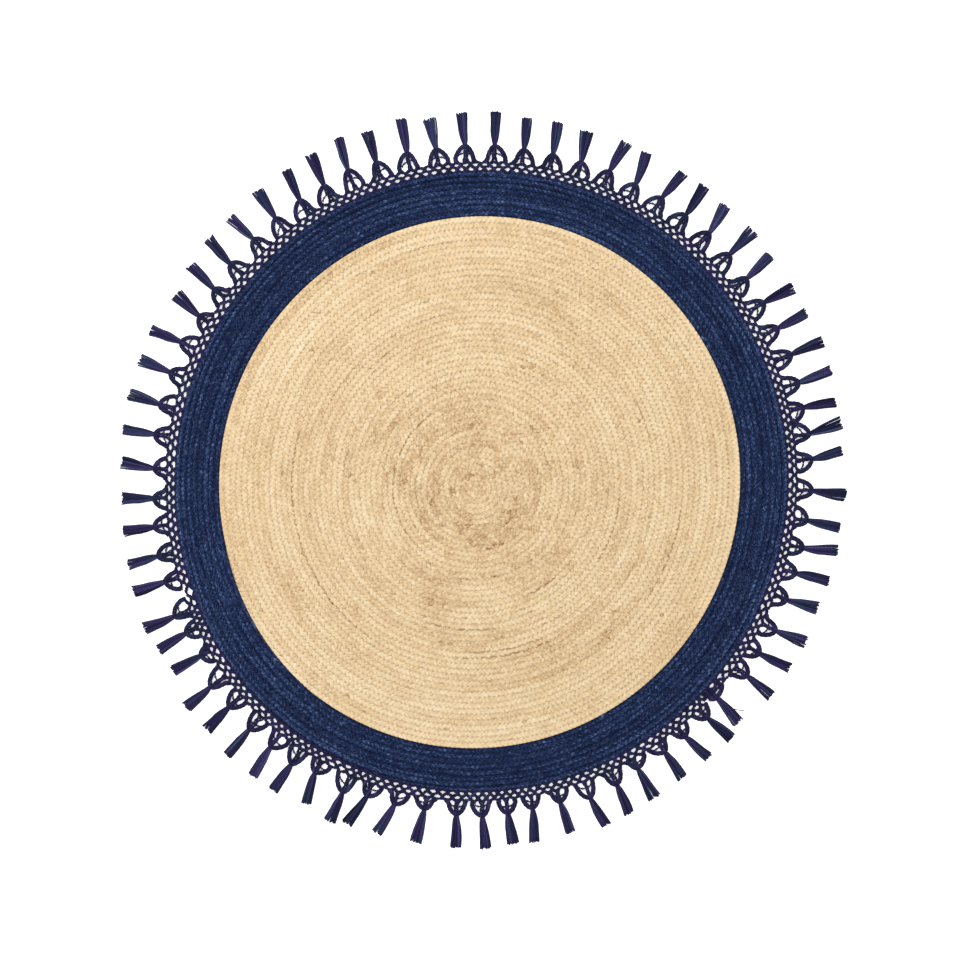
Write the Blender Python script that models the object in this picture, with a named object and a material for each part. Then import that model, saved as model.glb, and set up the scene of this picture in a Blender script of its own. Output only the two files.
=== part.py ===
"""Round braided jute rug with a navy border and a tasselled cotton trim, lying flat.

The rug is one braid coiled outwards clockwise, as seen from above. It is natural jute up to
the splice and navy jute after it. A netted cotton trim in two lengths is sewn round the rim,
and its loops are gathered into tassels. Units are metres, +Z is up, and the origin is the
middle of the underside. Every angle is in degrees, clockwise from +X as seen from above.
"""

import math
import random

import bmesh
import bpy
from mathutils import Vector

FULL_TURN = 360.0

# Braid
BRAID_WIDTH = 0.00937
NATURAL_TURNS = 46
BORDER_TURNS = 8
ALL_TURNS = NATURAL_TURNS + BORDER_TURNS
RIDGE_HEIGHT = 0.0080
SEAM_HEIGHT = 0.0058
EDGE_HEIGHT = 0.0042
UNDERCUT = 0.0006
FIT_GAP = 0.0003
SPLICE_GAP = 0.0004
SPLICE_NEAR = 165.0

# How the spiral moves outwards: evenly near the centre, mostly before the splice further out
EVEN_SPIRAL_TURNS = 12
OUTWARD_SWEEP = 100.0
TAIL_END = 0.14

# The coil isn't quite round, and its turns drift from a hub a little off the rug's middle.
OVAL_AXIS = 108.0
NATURAL_OVAL_SHARE = 0.0116
OVAL_SHARE = 0.0053
HUB_CENTRE = Vector((-0.0050, -0.0090, 0.0))
NATURAL_CENTRE = Vector((-0.0014, 0.0020, 0.0))
# Where the rim bulges or is drawn in, and the net with it. Rows: angle, metres outwards
RIM_SHIFTS = (
    (0.0, 0.0), (25.0, -0.0030), (55.0, -0.0050), (85.0, -0.0035), (105.0, -0.0003),
    (130.0, 0.0030), (145.0, 0.0015), (160.0, -0.0015), (180.0, -0.0040), (200.0, -0.0015),
    (220.0, -0.0010), (240.0, 0.0013), (270.0, 0.0030), (300.0, 0.0020), (330.0, 0.0010),
    (FULL_TURN, 0.0),
)
# The loops take up the shift between these distances out
SHIFT_FADE = (0.018, 0.038)

# Rows: turns below this number, straight steps round each of them
STEPS_PER_TURN = ((4, 12), (14, 16), (42, 24), (45, 36), (ALL_TURNS + 1, 48))
HUB_OFFSET = 0.030

# Trim: heights above the floor, and distances outwards from the braid's rim
LACE_HEIGHT = 0.0022
HEAD_HEIGHT = 0.0034
NET_TOP = 0.0150
NECK_RISE = 0.0420
NECK_HALF_WIDTH = 0.0024

# Rows: tassel's angle, its neck's millimetres out from the rim, its lean in degrees
LONG_TASSELS_BEFORE = (
    (162.6, 36.9, -4.0), (167.2, 37.4, -5.0), (172.3, 35.4, 1.0), (177.3, 32.8, 3.0),
    (182.5, 32.3, 8.0), (188.5, 36.4, 0.0), (193.7, 38.4, 9.0), (199.6, 36.4, 6.0),
    (205.2, 39.0, -2.0), (210.6, 32.3, 12.0), (216.0, 35.9, 11.0), (221.2, 41.0, 6.0),
    (227.0, 41.5, -2.0), (232.2, 44.0, 6.0), (237.4, 45.0, 9.0), (242.2, 45.0, 5.0),
    (247.0, 50.5, 5.0), (251.9, 46.0, 4.0), (257.4, 47.0, 5.0),
)
LONG_TASSELS_AFTER = (
    (342.5, 42.0, -2.0), (346.8, 38.4, 1.0), (351.5, 41.0, -10.0), (355.9, 40.5, -9.0),
    (361.3, 40.5, 8.5), (366.5, 35.4, 8.0), (371.4, 35.9, -5.0), (376.0, 34.3, -6.0),
    (380.9, 34.3, -5.0), (386.6, 37.9, -5.0), (391.5, 32.8, -6.0), (395.9, 36.0, 2.5),
    (402.2, 23.0, 5.0),
)
SHORT_TASSELS = (
    (46.0, 31.8, -7.0), (51.1, 30.7, -8.0), (55.6, 30.7, -4.0), (61.1, 30.2, 0.0),
    (65.7, 36.4, -3.0), (70.8, 39.5, -9.0), (76.0, 32.3, -7.0), (80.9, 32.8, 3.0),
    (85.3, 35.4, -5.0), (89.7, 37.9, -5.0), (94.2, 36.4, -7.0), (99.7, 33.8, 7.0),
    (104.9, 36.4, 15.0), (109.9, 37.4, 14.0), (114.0, 46.6, 0.0), (119.8, 37.9, -12.0),
    (123.9, 47.0, 1.0), (128.5, 45.0, -4.0), (133.2, 46.0, -5.0), (138.3, 45.0, -2.0),
    (142.9, 48.0, -4.0), (148.3, 32.3, 2.0), (153.0, 35.9, -4.0), (156.4, 41.5, 0.0),
)
# The tassels between those two rows aren't seen in the photo, so they are drawn at random.
UNSEEN_TASSELS = 16
UNSEEN_RISE = 45.0
UNSEEN_RISE_UNEVEN = 2.5
UNSEEN_LEAN = 9.0
# Rows: name, first edge, last edge
TRIM_LENGTHS = (("long_tasselled_trim", 159.8, 403.8), ("short_tasselled_trim", 43.95, 159.2))

# One side of a repeat of the net. Rows: corner, share of the way from the tassel to the
# repeat's edge, distance out
NET_CORNERS = (
    ("side_gap_foot", 0.58, 0.0048),
    ("middle_gap_foot", 0.42, 0.0048),
    ("loop_gap_foot", 0.50, 0.0081),
    ("loop_gap_outer", 0.77, 0.0149),
    ("loop_gap_inner", 0.08, 0.0175),
    ("loop_gap_top", 0.10, 0.0310),
    ("arm_foot", 0.83, 0.0192),
)
MIDDLE_GAP_TOP = 0.0142
# Rows: corner on the line between two repeats, distance out
EDGE_CORNERS = (("edge_foot", FIT_GAP), ("edge_gap_top", 0.0142), ("edge_top", 0.0174))
# The strands of that side, by their corners
STRANDS = (
    ("middle_gap_foot", "side_gap_foot", "loop_gap_foot"),
    ("middle_gap_foot", "loop_gap_foot", "loop_gap_inner", "middle_gap_top"),
    ("side_gap_foot", "edge_gap_top", "loop_gap_outer", "loop_gap_foot"),
    ("edge_gap_top", "edge_top", "arm_foot", "loop_gap_outer"),
    ("loop_gap_outer", "arm_foot", "neck", "loop_gap_top"),
)

# Tassels, each of a few locks
LOCKS = 4
TASSEL_LENGTH = 0.0545
TASSEL_UNEVEN = 0.0030
TIP_UNEVEN = 0.05
# Rows: share of the tassel's length, half width, lock's share of its lane, lock's height
TASSEL_SECTIONS = (
    (0.28, 0.0052, 0.88, 0.0044),
    (1.00, 0.0072, 0.84, 0.0030),
)
TASSEL_SEED = 7
TIP_SEED = 8

NATURAL_COLOUR = (0.79, 0.58, 0.33, 1.0)
NAVY_JUTE_COLOUR = (0.017, 0.031, 0.085, 1.0)
NAVY_COTTON_COLOUR = (0.024, 0.024, 0.070, 1.0)


def smooth(value):
    """Ease from 0 to 1."""
    value = min(max(value, 0.0), 1.0)
    return value * value * (3.0 - 2.0 * value)


def direction(angle):
    """Unit vector at an angle clockwise from +X."""
    turn = math.radians(angle)
    return Vector((math.cos(turn), -math.sin(turn), 0.0))


def raised(point, height):
    """The same place at a height above the floor."""
    return Vector((point.x, point.y, height))


def strip_triangles(inner, outer):
    """Triangles between two lines of (place along the line, corner) pairs."""
    triangles = []
    a = b = 0
    while a < len(inner) - 1 or b < len(outer) - 1:
        inner_next = inner[a + 1][0] if a < len(inner) - 1 else math.inf
        outer_next = outer[b + 1][0] if b < len(outer) - 1 else math.inf
        corners = [inner[a][1], outer[b][1]]
        if inner_next <= outer_next:
            a += 1
            corners.append(inner[a][1])
        else:
            b += 1
            corners.append(outer[b][1])
        if len(set(corners)) == 3:
            triangles.append(corners)
    return triangles


def make_material(name, colour, roughness):
    """Plain cloth colour on a Principled shader."""
    material = bpy.data.materials.new(name)
    material.use_nodes = True
    shader = material.node_tree.nodes["Principled BSDF"]
    shader.inputs["Base Color"].default_value = colour
    shader.inputs["Roughness"].default_value = roughness
    shader.inputs["Metallic"].default_value = 0.0
    material.diffuse_color = colour
    return material


def make_object(name, solid, material):
    """Turn a finished bmesh into a named object, faces outwards and ribs shaded smooth."""
    bmesh.ops.triangulate(solid, faces=solid.faces)
    bmesh.ops.recalc_face_normals(solid, faces=solid.faces)
    mesh = bpy.data.meshes.new(name)
    solid.to_mesh(mesh)
    solid.free()
    mesh.materials.append(material)
    mesh.shade_smooth()
    mesh.set_sharp_from_angle(angle=math.radians(70.0))
    thing = bpy.data.objects.new(name, mesh)
    bpy.context.scene.collection.objects.link(thing)
    return thing


# The trim's layout, which also places the splice and the corners of the braid's rim


def unseen_tassels(draw):
    """Rows for the tassels that the photo doesn't show, evenly spaced."""
    first, last = LONG_TASSELS_BEFORE[-1][0], LONG_TASSELS_AFTER[0][0]
    pitch = (last - first) / (UNSEEN_TASSELS + 1)
    rows = []
    for number in range(1, UNSEEN_TASSELS + 1):
        rise = UNSEEN_RISE + draw.uniform(-UNSEEN_RISE_UNEVEN, UNSEEN_RISE_UNEVEN)
        rows.append((first + pitch * number, rise, draw.uniform(-UNSEEN_LEAN, UNSEEN_LEAN)))
    return tuple(rows)


def draw_tassels():
    """Per trim length: the edges of its repeats, and a dictionary of sizes for each tassel."""
    draw = random.Random(TASSEL_SEED)
    long_rows = LONG_TASSELS_BEFORE + unseen_tassels(draw) + LONG_TASSELS_AFTER
    lengths = []
    for (name, first_edge, last_edge), rows in zip(TRIM_LENGTHS, (long_rows, SHORT_TASSELS)):
        tassels = []
        for angle, rise, lean in rows:
            length = TASSEL_LENGTH + draw.uniform(-TASSEL_UNEVEN, TASSEL_UNEVEN)
            tassels.append({"angle": angle, "rise": 0.001 * rise, "lean": lean, "length": length})
        middles = [0.5 * (a["angle"] + b["angle"]) for a, b in zip(tassels, tassels[1:])]
        lengths.append((name, [first_edge] + middles + [last_edge], tassels))
    return lengths


# The coil


def border_share(turns_out):
    """How far across the border a line lies, from 0 at its inner edge to 1 at the rim."""
    return min(max((turns_out - NATURAL_TURNS) / BORDER_TURNS, 0.0), 1.0)


def coil_radius(turns_out, angle):
    """Radius of a line that many braid widths from the centre."""
    share = NATURAL_OVAL_SHARE + (OVAL_SHARE - NATURAL_OVAL_SHARE) * border_share(turns_out)
    oval = share * math.cos(2.0 * math.radians(angle - OVAL_AXIS))
    return turns_out * BRAID_WIDTH * (1.0 + oval)


def rim_shift(angle):
    """Metres that the rim bulges outwards at this angle."""
    angle = angle % FULL_TURN
    for (before, low), (after, high) in zip(RIM_SHIFTS, RIM_SHIFTS[1:]):
        if angle <= after:
            return low + (high - low) * (angle - before) / (after - before)


def coil_point(turns_out, angle, height, outwards=0.0):
    """Point on a turn. The turns drift from the hub to the natural part's centre, and the
    border's turns on to the origin."""
    natural_share = min(turns_out / NATURAL_TURNS, 1.0)
    centre = HUB_CENTRE + (NATURAL_CENTRE - HUB_CENTRE) * natural_share
    centre = centre * (1.0 - border_share(turns_out))
    held = 1.0 - smooth((outwards - SHIFT_FADE[0]) / (SHIFT_FADE[1] - SHIFT_FADE[0]))
    bulge = rim_shift(angle) * border_share(turns_out) * held
    reach = coil_radius(turns_out, angle) + bulge + outwards
    return raised(centre + direction(angle) * reach, height)


def widening(turn, sweep):
    """Braid widths that a turn's seam has moved outwards after this sweep."""
    even = sweep / FULL_TURN
    late = smooth((sweep - FULL_TURN + OUTWARD_SWEEP) / OUTWARD_SWEEP)
    return even + (late - even) * min(turn / EVEN_SPIRAL_TURNS, 1.0)


def turn_sweeps(turn):
    """Sweeps of a turn's corners, from its start to its end."""
    steps = next(steps for below, steps in STEPS_PER_TURN if turn < below)
    return [FULL_TURN * step / steps for step in range(steps + 1)]


def natural_lines(solid, start_angle):
    """Seams (even lines) and ridges (odd lines) of the natural turns, by line number.

    Each is a list of (sweep, corner). A line ends at the corner where the line two further
    out begins, because both are one spiral, so the outermost is made first.
    """
    lines = {}
    rim = 2 * NATURAL_TURNS
    for index in range(rim, -1, -1):
        turn, on_ridge = divmod(index, 2)
        height = EDGE_HEIGHT if index == rim else (SEAM_HEIGHT, RIDGE_HEIGHT)[on_ridge]
        line = []
        for sweep in turn_sweeps(turn):
            if sweep == FULL_TURN and index + 2 in lines:
                corner = lines[index + 2][0][1]
            else:
                turns_out = turn + 0.5 * on_ridge + widening(turn, sweep)
                corner = solid.verts.new(coil_point(turns_out, start_angle + sweep, height))
            line.append((sweep, corner))
        lines[index] = line
    return lines


def border_lines(solid, start_angle, rim_sweeps):
    """The same for the border, whose last turn narrows to a tail inside a closed rim."""
    lines = {}
    first, rim = 2 * NATURAL_TURNS, 2 * ALL_TURNS
    for index in range(rim, first - 1, -1):
        turn, on_ridge = divmod(index, 2)
        last_turn = turn >= ALL_TURNS - 1
        line = []
        for sweep in rim_sweeps if last_turn else turn_sweeps(turn):
            place = len(line)
            tail = 1.0 - widening(ALL_TURNS - 1, sweep)
            turns_out = turn + 0.5 * on_ridge + widening(turn, sweep)
            height = (SEAM_HEIGHT, RIDGE_HEIGHT)[on_ridge]
            outwards = 0.0
            if index == first or (index == first + 2 and sweep == 0.0):
                height = EDGE_HEIGHT
                outwards = FIT_GAP
            if index == rim:
                turns_out = ALL_TURNS
                height = EDGE_HEIGHT
            elif last_turn and on_ridge:
                turns_out = ALL_TURNS - 0.5 * tail
                height = SEAM_HEIGHT + (RIDGE_HEIGHT - SEAM_HEIGHT) * min(1.0, 1.6 * tail)
            if sweep == FULL_TURN and index + 2 in lines:
                corner = lines[index + 2][0][1]
            elif sweep == FULL_TURN:
                corner = line[0][1] if index == rim else lines[rim][0][1]
            elif last_turn and index != rim and tail < TAIL_END:
                corner = lines[rim][place][1]
            else:
                point = coil_point(turns_out, start_angle + sweep, height, outwards)
                corner = solid.verts.new(point)
            line.append((sweep, corner))
        lines[index] = line
    return lines


def add_strips(solid, lines):
    """Ribbed top: the strips between neighbouring lines."""
    for index in sorted(lines)[:-1]:
        for corners in strip_triangles(lines[index], lines[index + 1]):
            solid.faces.new(corners)


def add_wall(solid, line, start_angle, undercut):
    """Side wall under a line, down to the floor. Gives the floor line."""
    floor_line = []
    made = {}
    for sweep, corner in line:
        if corner not in made:
            foot = corner.co + direction(start_angle + sweep) * undercut
            made[corner] = solid.verts.new(raised(foot, 0.0))
        floor_line.append((sweep, made[corner]))
    for upper, lower in zip(zip(line, line[1:]), zip(floor_line, floor_line[1:])):
        solid.faces.new((upper[0][1], upper[1][1], lower[1][1], lower[0][1]))
    return floor_line


def add_braid_end(solid, line, floor_line, ridge_corner):
    """Flat end of the braid at the splice, where the wall's line steps by one braid."""
    near, far = line[0][1], line[-1][1]
    solid.faces.new((near, ridge_corner, far))
    solid.faces.new((near, far, floor_line[-1][1], floor_line[0][1]))


def build_natural_coil(splice, material):
    """Natural jute coil: a ribbed disc that ends in the braid's cut end."""
    solid = bmesh.new()
    lines = natural_lines(solid, splice)
    add_strips(solid, lines)

    start = [corner for _, corner in lines[0]]
    first_ridge = lines[1][0][1]
    for near, far in zip(start[1:-2], start[2:-1]):
        solid.faces.new((start[0], near, far))
    solid.faces.new((start[0], start[-2], first_ridge))
    solid.faces.new((first_ridge, start[-2], start[-1]))

    rim = lines[2 * NATURAL_TURNS]
    floor_line = add_wall(solid, rim, splice, -UNDERCUT)
    add_braid_end(solid, rim, floor_line, lines[2 * NATURAL_TURNS - 1][-1][1])
    hub = solid.verts.new(direction(splice - 90.0) * HUB_OFFSET)
    floor_corners = [corner for _, corner in floor_line]
    for near, far in zip(floor_corners, floor_corners[1:] + floor_corners[:1]):
        solid.faces.new((hub, near, far))
    return make_object("natural_coil", solid, material)


def build_border_coil(splice, rim_angles, material):
    """Navy jute coil: a ribbed ring that begins at the splice and ends in a narrow tail."""
    start = splice + math.degrees(SPLICE_GAP / coil_radius(NATURAL_TURNS, splice))
    sweeps = sorted((angle - start) % FULL_TURN for angle in rim_angles)
    rim_sweeps = [0.0] + [sweep for sweep in sweeps if 1.0 < sweep < FULL_TURN - 1.0] + [FULL_TURN]
    solid = bmesh.new()
    lines = border_lines(solid, start, rim_sweeps)
    add_strips(solid, lines)

    inner, rim = lines[2 * NATURAL_TURNS], lines[2 * ALL_TURNS]
    inner_floor = add_wall(solid, inner, start, UNDERCUT)
    add_braid_end(solid, inner, inner_floor, lines[2 * NATURAL_TURNS + 1][0][1])
    rim_floor = add_wall(solid, rim, start, -UNDERCUT)

    # The braid's cut end lies along one ray, so its inner corner waits for the rim's next one.
    ray_end = (0.0, inner_floor[-1][1])
    ray_start = (rim_floor[1][0] + 0.1, inner_floor[0][1])
    for corners in strip_triangles([ray_end, ray_start] + inner_floor[1:], rim_floor):
        solid.faces.new(corners)
    return make_object("navy_border_coil", solid, material)


# The trim


class Lace:
    """A flat net built from named corners, each with a point on top and one on the floor."""

    def __init__(self):
        self.solid = bmesh.new()
        self.tops = {}
        self.feet = {}
        self.open_sides = set()

    def add_corner(self, key, top, foot=None):
        self.tops[key] = self.solid.verts.new(top)
        self.feet[key] = self.solid.verts.new(raised(foot or top, 0.0))

    def toggle_sides(self, keys):
        """A side that only one face has is open, and gets a wall."""
        for pair in zip(keys, keys[1:] + keys[:1]):
            self.open_sides ^= {frozenset(pair)}

    def add_face(self, keys):
        self.solid.faces.new([self.tops[key] for key in keys])
        self.solid.faces.new([self.feet[key] for key in keys])
        self.toggle_sides(list(keys))

    def add_walls(self):
        for side in sorted(self.open_sides, key=lambda pair: sorted(map(str, pair))):
            a, b = side
            self.solid.faces.new((self.tops[a], self.tops[b], self.feet[b], self.feet[a]))


def rim_point(angle, out, height=LACE_HEIGHT):
    """Point at a distance outwards from the braid's rim."""
    return coil_point(ALL_TURNS, angle, height, out)


def corner_key(place, side, edge_number, name):
    """Key of a strand's corner: on a repeat's edge, at its middle, or on one side of it."""
    if name.startswith("edge_"):
        return (edge_number, name)
    if name == "middle_gap_top":
        return (place, name)
    return (place, side, name)


def add_net(lace, place, left_edge, right_edge, tassel):
    """One repeat of the net: heading, strands round its gaps, and the loop up to the neck."""
    angle, rise = tassel["angle"], tassel["rise"]
    stretch = (rise - NET_TOP) / (NECK_RISE - NET_TOP)
    lace.add_corner((place, "middle_gap_top"), rim_point(angle, MIDDLE_GAP_TOP))
    across = direction(angle + 90.0) * NECK_HALF_WIDTH
    for side, edge in ((-1, left_edge), (1, right_edge)):
        for name, share, out in NET_CORNERS:
            reach = out if out < NET_TOP else NET_TOP + (out - NET_TOP) * stretch
            point = rim_point(angle + (edge - angle) * share, reach)
            lace.add_corner((place, side, name), point)
        neck = rim_point(angle, rise, HEAD_HEIGHT)
        top_share = (LOCKS - 1) / LOCKS
        lace.add_corner((place, side, "neck"), neck + across * side * top_share, neck + across * side)

    for side, edge_number in ((-1, place), (1, place + 1)):
        for names in STRANDS:
            lace.add_face([corner_key(place, side, edge_number, name) for name in names])

    heading = [(-1.0, (place, "edge_foot")), (1.0, (place + 1, "edge_foot"))]
    shares = {name: share for name, share, _ in NET_CORNERS}
    feet = [
        (side * shares[name], (place, side, name))
        for side in (-1, 1)
        for name in ("side_gap_foot", "middle_gap_foot")[::side * -1]
    ]
    for keys in strip_triangles(heading, feet):
        lace.add_face(keys)

    inner_left, inner_right = (place, -1, "loop_gap_inner"), (place, 1, "loop_gap_inner")
    top_left, top_right = (place, -1, "loop_gap_top"), (place, 1, "loop_gap_top")
    lace.add_face([(place, "middle_gap_top"), inner_right, inner_left])
    lace.add_face([inner_left, inner_right, top_right, top_left])


def add_tassel(lace, place, tassel, tip_draw):
    """The neck, and the locks that spread from it and lie on the floor."""
    solid = lace.solid
    angle, rise = tassel["angle"], tassel["rise"]
    root = rim_point(angle, rise, 0.0)
    across = direction(angle + 90.0)
    lane = 2.0 * NECK_HALF_WIDTH / LOCKS
    tops = [lace.tops[(place, -1, "neck")]]
    feet = [lace.feet[(place, -1, "neck")]]
    for lock in range(1, LOCKS):
        if lock < LOCKS - 1:
            offset = lane * (lock + 0.5) - NECK_HALF_WIDTH
            tops.append(solid.verts.new(raised(root + across * offset, HEAD_HEIGHT)))
        feet.append(solid.verts.new(root + across * (lane * lock - NECK_HALF_WIDTH)))
    tops.append(lace.tops[(place, 1, "neck")])
    feet.append(lace.feet[(place, 1, "neck")])

    left, right = (place, -1, "loop_gap_top"), (place, 1, "loop_gap_top")
    for corners, level in ((tops, lace.tops), (feet, lace.feet)):
        line = [(number / (len(corners) - 1), corner) for number, corner in enumerate(corners)]
        for triangle in strip_triangles([(0.0, level[left]), (1.0, level[right])], line):
            solid.faces.new(triangle)
    for keys in ((left, right), (left, (place, -1, "neck")), (right, (place, 1, "neck"))):
        lace.open_sides ^= {frozenset(keys)}

    for lock in range(LOCKS):
        if lock < LOCKS - 1:
            solid.faces.new((tops[lock], feet[lock + 1], tops[lock + 1]))
        ring = (feet[lock], feet[lock + 1], tops[lock])
        tip_share = 1.0 + tip_draw.uniform(-TIP_UNEVEN, TIP_UNEVEN)
        for section in TASSEL_SECTIONS:
            next_ring = add_lock_section(solid, tassel, root, lock, section, tip_share)
            for side in range(3):
                other = (side + 1) % 3
                solid.faces.new((ring[side], ring[other], next_ring[other], next_ring[side]))
            ring = next_ring
        solid.faces.new(ring)


def add_lock_section(solid, tassel, root, lock, section, tip_share):
    """Three corners of a lock at one section: two on the floor and one on top."""
    share, half_width, fill, height = section
    along = direction(tassel["angle"] + tassel["lean"])
    across = direction(tassel["angle"] + tassel["lean"] + 90.0)
    lane = 2.0 * half_width / LOCKS
    middle = root + along * (tassel["length"] * share * tip_share)
    middle = middle + across * (lane * (lock + 0.5) - half_width)
    reach = across * (0.5 * lane * fill)
    points = (middle - reach, middle + reach, raised(middle, height))
    return [solid.verts.new(point) for point in points]


def build_trim(name, edges, tassels, tip_draw, material):
    """One length of trim: net, loops and tassels in one solid."""
    lace = Lace()
    for number, edge in enumerate(edges):
        for corner, out in EDGE_CORNERS:
            lace.add_corner((number, corner), rim_point(edge, out))
    for place, tassel in enumerate(tassels):
        add_net(lace, place, edges[place], edges[place + 1], tassel)
        add_tassel(lace, place, tassel, tip_draw)
    for place in range(len(tassels) - 1):
        this_foot, next_foot = (place, 1, "side_gap_foot"), (place + 1, -1, "side_gap_foot")
        lace.add_face([(place + 1, "edge_foot"), next_foot, this_foot])
    lace.add_walls()
    return make_object(name, lace.solid, material)


def build_rug():
    """The whole rug: two runs of braid and two lengths of trim."""
    for thing in list(bpy.data.objects):
        bpy.data.objects.remove(thing, do_unlink=True)

    natural = make_material("natural jute", NATURAL_COLOUR, 0.85)
    navy_jute = make_material("navy jute", NAVY_JUTE_COLOUR, 0.85)
    navy_cotton = make_material("navy cotton", NAVY_COTTON_COLOUR, 0.9)

    lengths = draw_tassels()
    rim_angles = [edge for _, edges, _ in lengths for edge in edges]
    splice = min(rim_angles, key=lambda edge: abs(edge - SPLICE_NEAR))
    build_natural_coil(splice, natural)
    build_border_coil(splice, rim_angles, navy_jute)
    tip_draw = random.Random(TIP_SEED)
    for name, edges, tassels in lengths:
        build_trim(name, edges, tassels, tip_draw, navy_cotton)


build_rug()
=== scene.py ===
"""Looks of the round braided jute rug with a navy border and a tasselled cotton trim.

The rug is one three-strand braid coiled clockwise, sewn turn to turn, with a netted cotton
trim round its rim. Units are metres and +Z is up. Every angle is in degrees, clockwise from
+X as seen from above. The coil and the tassels repeat the formulas and seeds of the CAD part,
so that every piece lies where its CAD solid does.
"""

import math
import random

import bmesh
import bpy
import numpy as np
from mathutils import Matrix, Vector
from mathutils.bvhtree import BVHTree


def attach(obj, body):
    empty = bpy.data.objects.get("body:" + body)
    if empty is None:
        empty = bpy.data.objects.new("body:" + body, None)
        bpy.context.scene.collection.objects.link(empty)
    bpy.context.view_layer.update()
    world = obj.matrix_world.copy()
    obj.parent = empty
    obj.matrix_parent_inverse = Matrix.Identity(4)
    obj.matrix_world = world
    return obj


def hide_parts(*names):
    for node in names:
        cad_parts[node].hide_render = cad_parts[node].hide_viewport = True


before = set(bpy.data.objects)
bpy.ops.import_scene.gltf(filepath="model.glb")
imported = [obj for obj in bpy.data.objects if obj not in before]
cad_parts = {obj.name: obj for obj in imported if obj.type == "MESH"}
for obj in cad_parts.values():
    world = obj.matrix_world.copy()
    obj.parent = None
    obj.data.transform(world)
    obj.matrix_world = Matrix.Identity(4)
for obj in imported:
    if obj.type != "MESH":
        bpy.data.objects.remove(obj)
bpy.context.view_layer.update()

FULL_TURN = 360.0

# The CAD's coil
BRAID_WIDTH = 0.00937
NATURAL_TURNS = 46
BORDER_TURNS = 8
ALL_TURNS = NATURAL_TURNS + BORDER_TURNS
EVEN_SPIRAL_TURNS = 12
OUTWARD_SWEEP = 100.0
OVAL_AXIS = 108.0
NATURAL_OVAL_SHARE = 0.0116
OVAL_SHARE = 0.0053
HUB_CENTRE = np.array((-0.0050, -0.0090, 0.0))
NATURAL_CENTRE = np.array((-0.0014, 0.0020, 0.0))
SPLICE_NEAR = 165.0
# Where the rim bulges or is drawn in, and the net with it. Rows: angle, metres outwards
RIM_SHIFTS = (
    (0.0, 0.0), (25.0, -0.0030), (55.0, -0.0050), (85.0, -0.0035), (105.0, -0.0003),
    (130.0, 0.0030), (145.0, 0.0015), (160.0, -0.0015), (180.0, -0.0040), (200.0, -0.0015),
    (220.0, -0.0010), (240.0, 0.0013), (270.0, 0.0030), (300.0, 0.0020), (330.0, 0.0010),
    (FULL_TURN, 0.0),
)
# The loops take up the shift between these distances out
SHIFT_FADE = (0.018, 0.038)

# The CAD's trim
TASSEL_LENGTH = 0.0545
TASSEL_UNEVEN = 0.0030
TASSEL_SEED = 7
# Rows: tassel's angle, its neck's millimetres out from the rim, its lean in degrees
LONG_TASSELS_BEFORE = (
    (162.6, 36.9, -4.0), (167.2, 37.4, -5.0), (172.3, 35.4, 1.0), (177.3, 32.8, 3.0),
    (182.5, 32.3, 8.0), (188.5, 36.4, 0.0), (193.7, 38.4, 9.0), (199.6, 36.4, 6.0),
    (205.2, 39.0, -2.0), (210.6, 32.3, 12.0), (216.0, 35.9, 11.0), (221.2, 41.0, 6.0),
    (227.0, 41.5, -2.0), (232.2, 44.0, 6.0), (237.4, 45.0, 9.0), (242.2, 45.0, 5.0),
    (247.0, 50.5, 5.0), (251.9, 46.0, 4.0), (257.4, 47.0, 5.0),
)
LONG_TASSELS_AFTER = (
    (342.5, 42.0, -2.0), (346.8, 38.4, 1.0), (351.5, 41.0, -10.0), (355.9, 40.5, -9.0),
    (361.3, 40.5, 8.5), (366.5, 35.4, 8.0), (371.4, 35.9, -5.0), (376.0, 34.3, -6.0),
    (380.9, 34.3, -5.0), (386.6, 37.9, -5.0), (391.5, 32.8, -6.0), (395.9, 36.0, 2.5),
    (402.2, 23.0, 5.0),
)
SHORT_TASSELS = (
    (46.0, 31.8, -7.0), (51.1, 30.7, -8.0), (55.6, 30.7, -4.0), (61.1, 30.2, 0.0),
    (65.7, 36.4, -3.0), (70.8, 39.5, -9.0), (76.0, 32.3, -7.0), (80.9, 32.8, 3.0),
    (85.3, 35.4, -5.0), (89.7, 37.9, -5.0), (94.2, 36.4, -7.0), (99.7, 33.8, 7.0),
    (104.9, 36.4, 15.0), (109.9, 37.4, 14.0), (114.0, 46.6, 0.0), (119.8, 37.9, -12.0),
    (123.9, 47.0, 1.0), (128.5, 45.0, -4.0), (133.2, 46.0, -5.0), (138.3, 45.0, -2.0),
    (142.9, 48.0, -4.0), (148.3, 32.3, 2.0), (153.0, 35.9, -4.0), (156.4, 41.5, 0.0),
)
# The tassels between those two rows aren't seen in the photo, so they are drawn at random.
UNSEEN_TASSELS = 16
UNSEEN_RISE = 45.0
UNSEEN_RISE_UNEVEN = 2.5
UNSEEN_LEAN = 9.0
# Rows: name, first edge, last edge
TRIM_LENGTHS = (("long", 159.8, 403.8), ("short", 43.95, 159.2))

# Strands of the braid: a strand swings from side to side once in three leaf pitches. Where its
# leaves start and end is in radians of that swing, and earlier for those over the rim
LEAF_PITCH = 0.0078
STRAND_PERIOD = 3.0 * LEAF_PITCH
LEAF_TOP = 0.0080
LEAF_START = 0.5 * math.pi - 0.25
LEAF_MIDDLE = 0.75 * math.pi
LEAF_END = math.pi + 0.45
RIM_LEAF_START = 0.5 * math.pi - 1.15
LEAF_STATIONS = 4
LEAF_WIDTHS = (0.97, 1.0, 1.0, 0.98, 0.80)
LEAF_ACROSS = (-1.0, -0.4, 0.4, 1.0)
LEAF_ROUNDING = 2.4
# How uneven leaves are: shares of swing and width, metres up and along, and a share of slant
LEAF_UNEVEN = (0.06, 0.12, 0.0003, 0.0005, 0.10)
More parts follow.
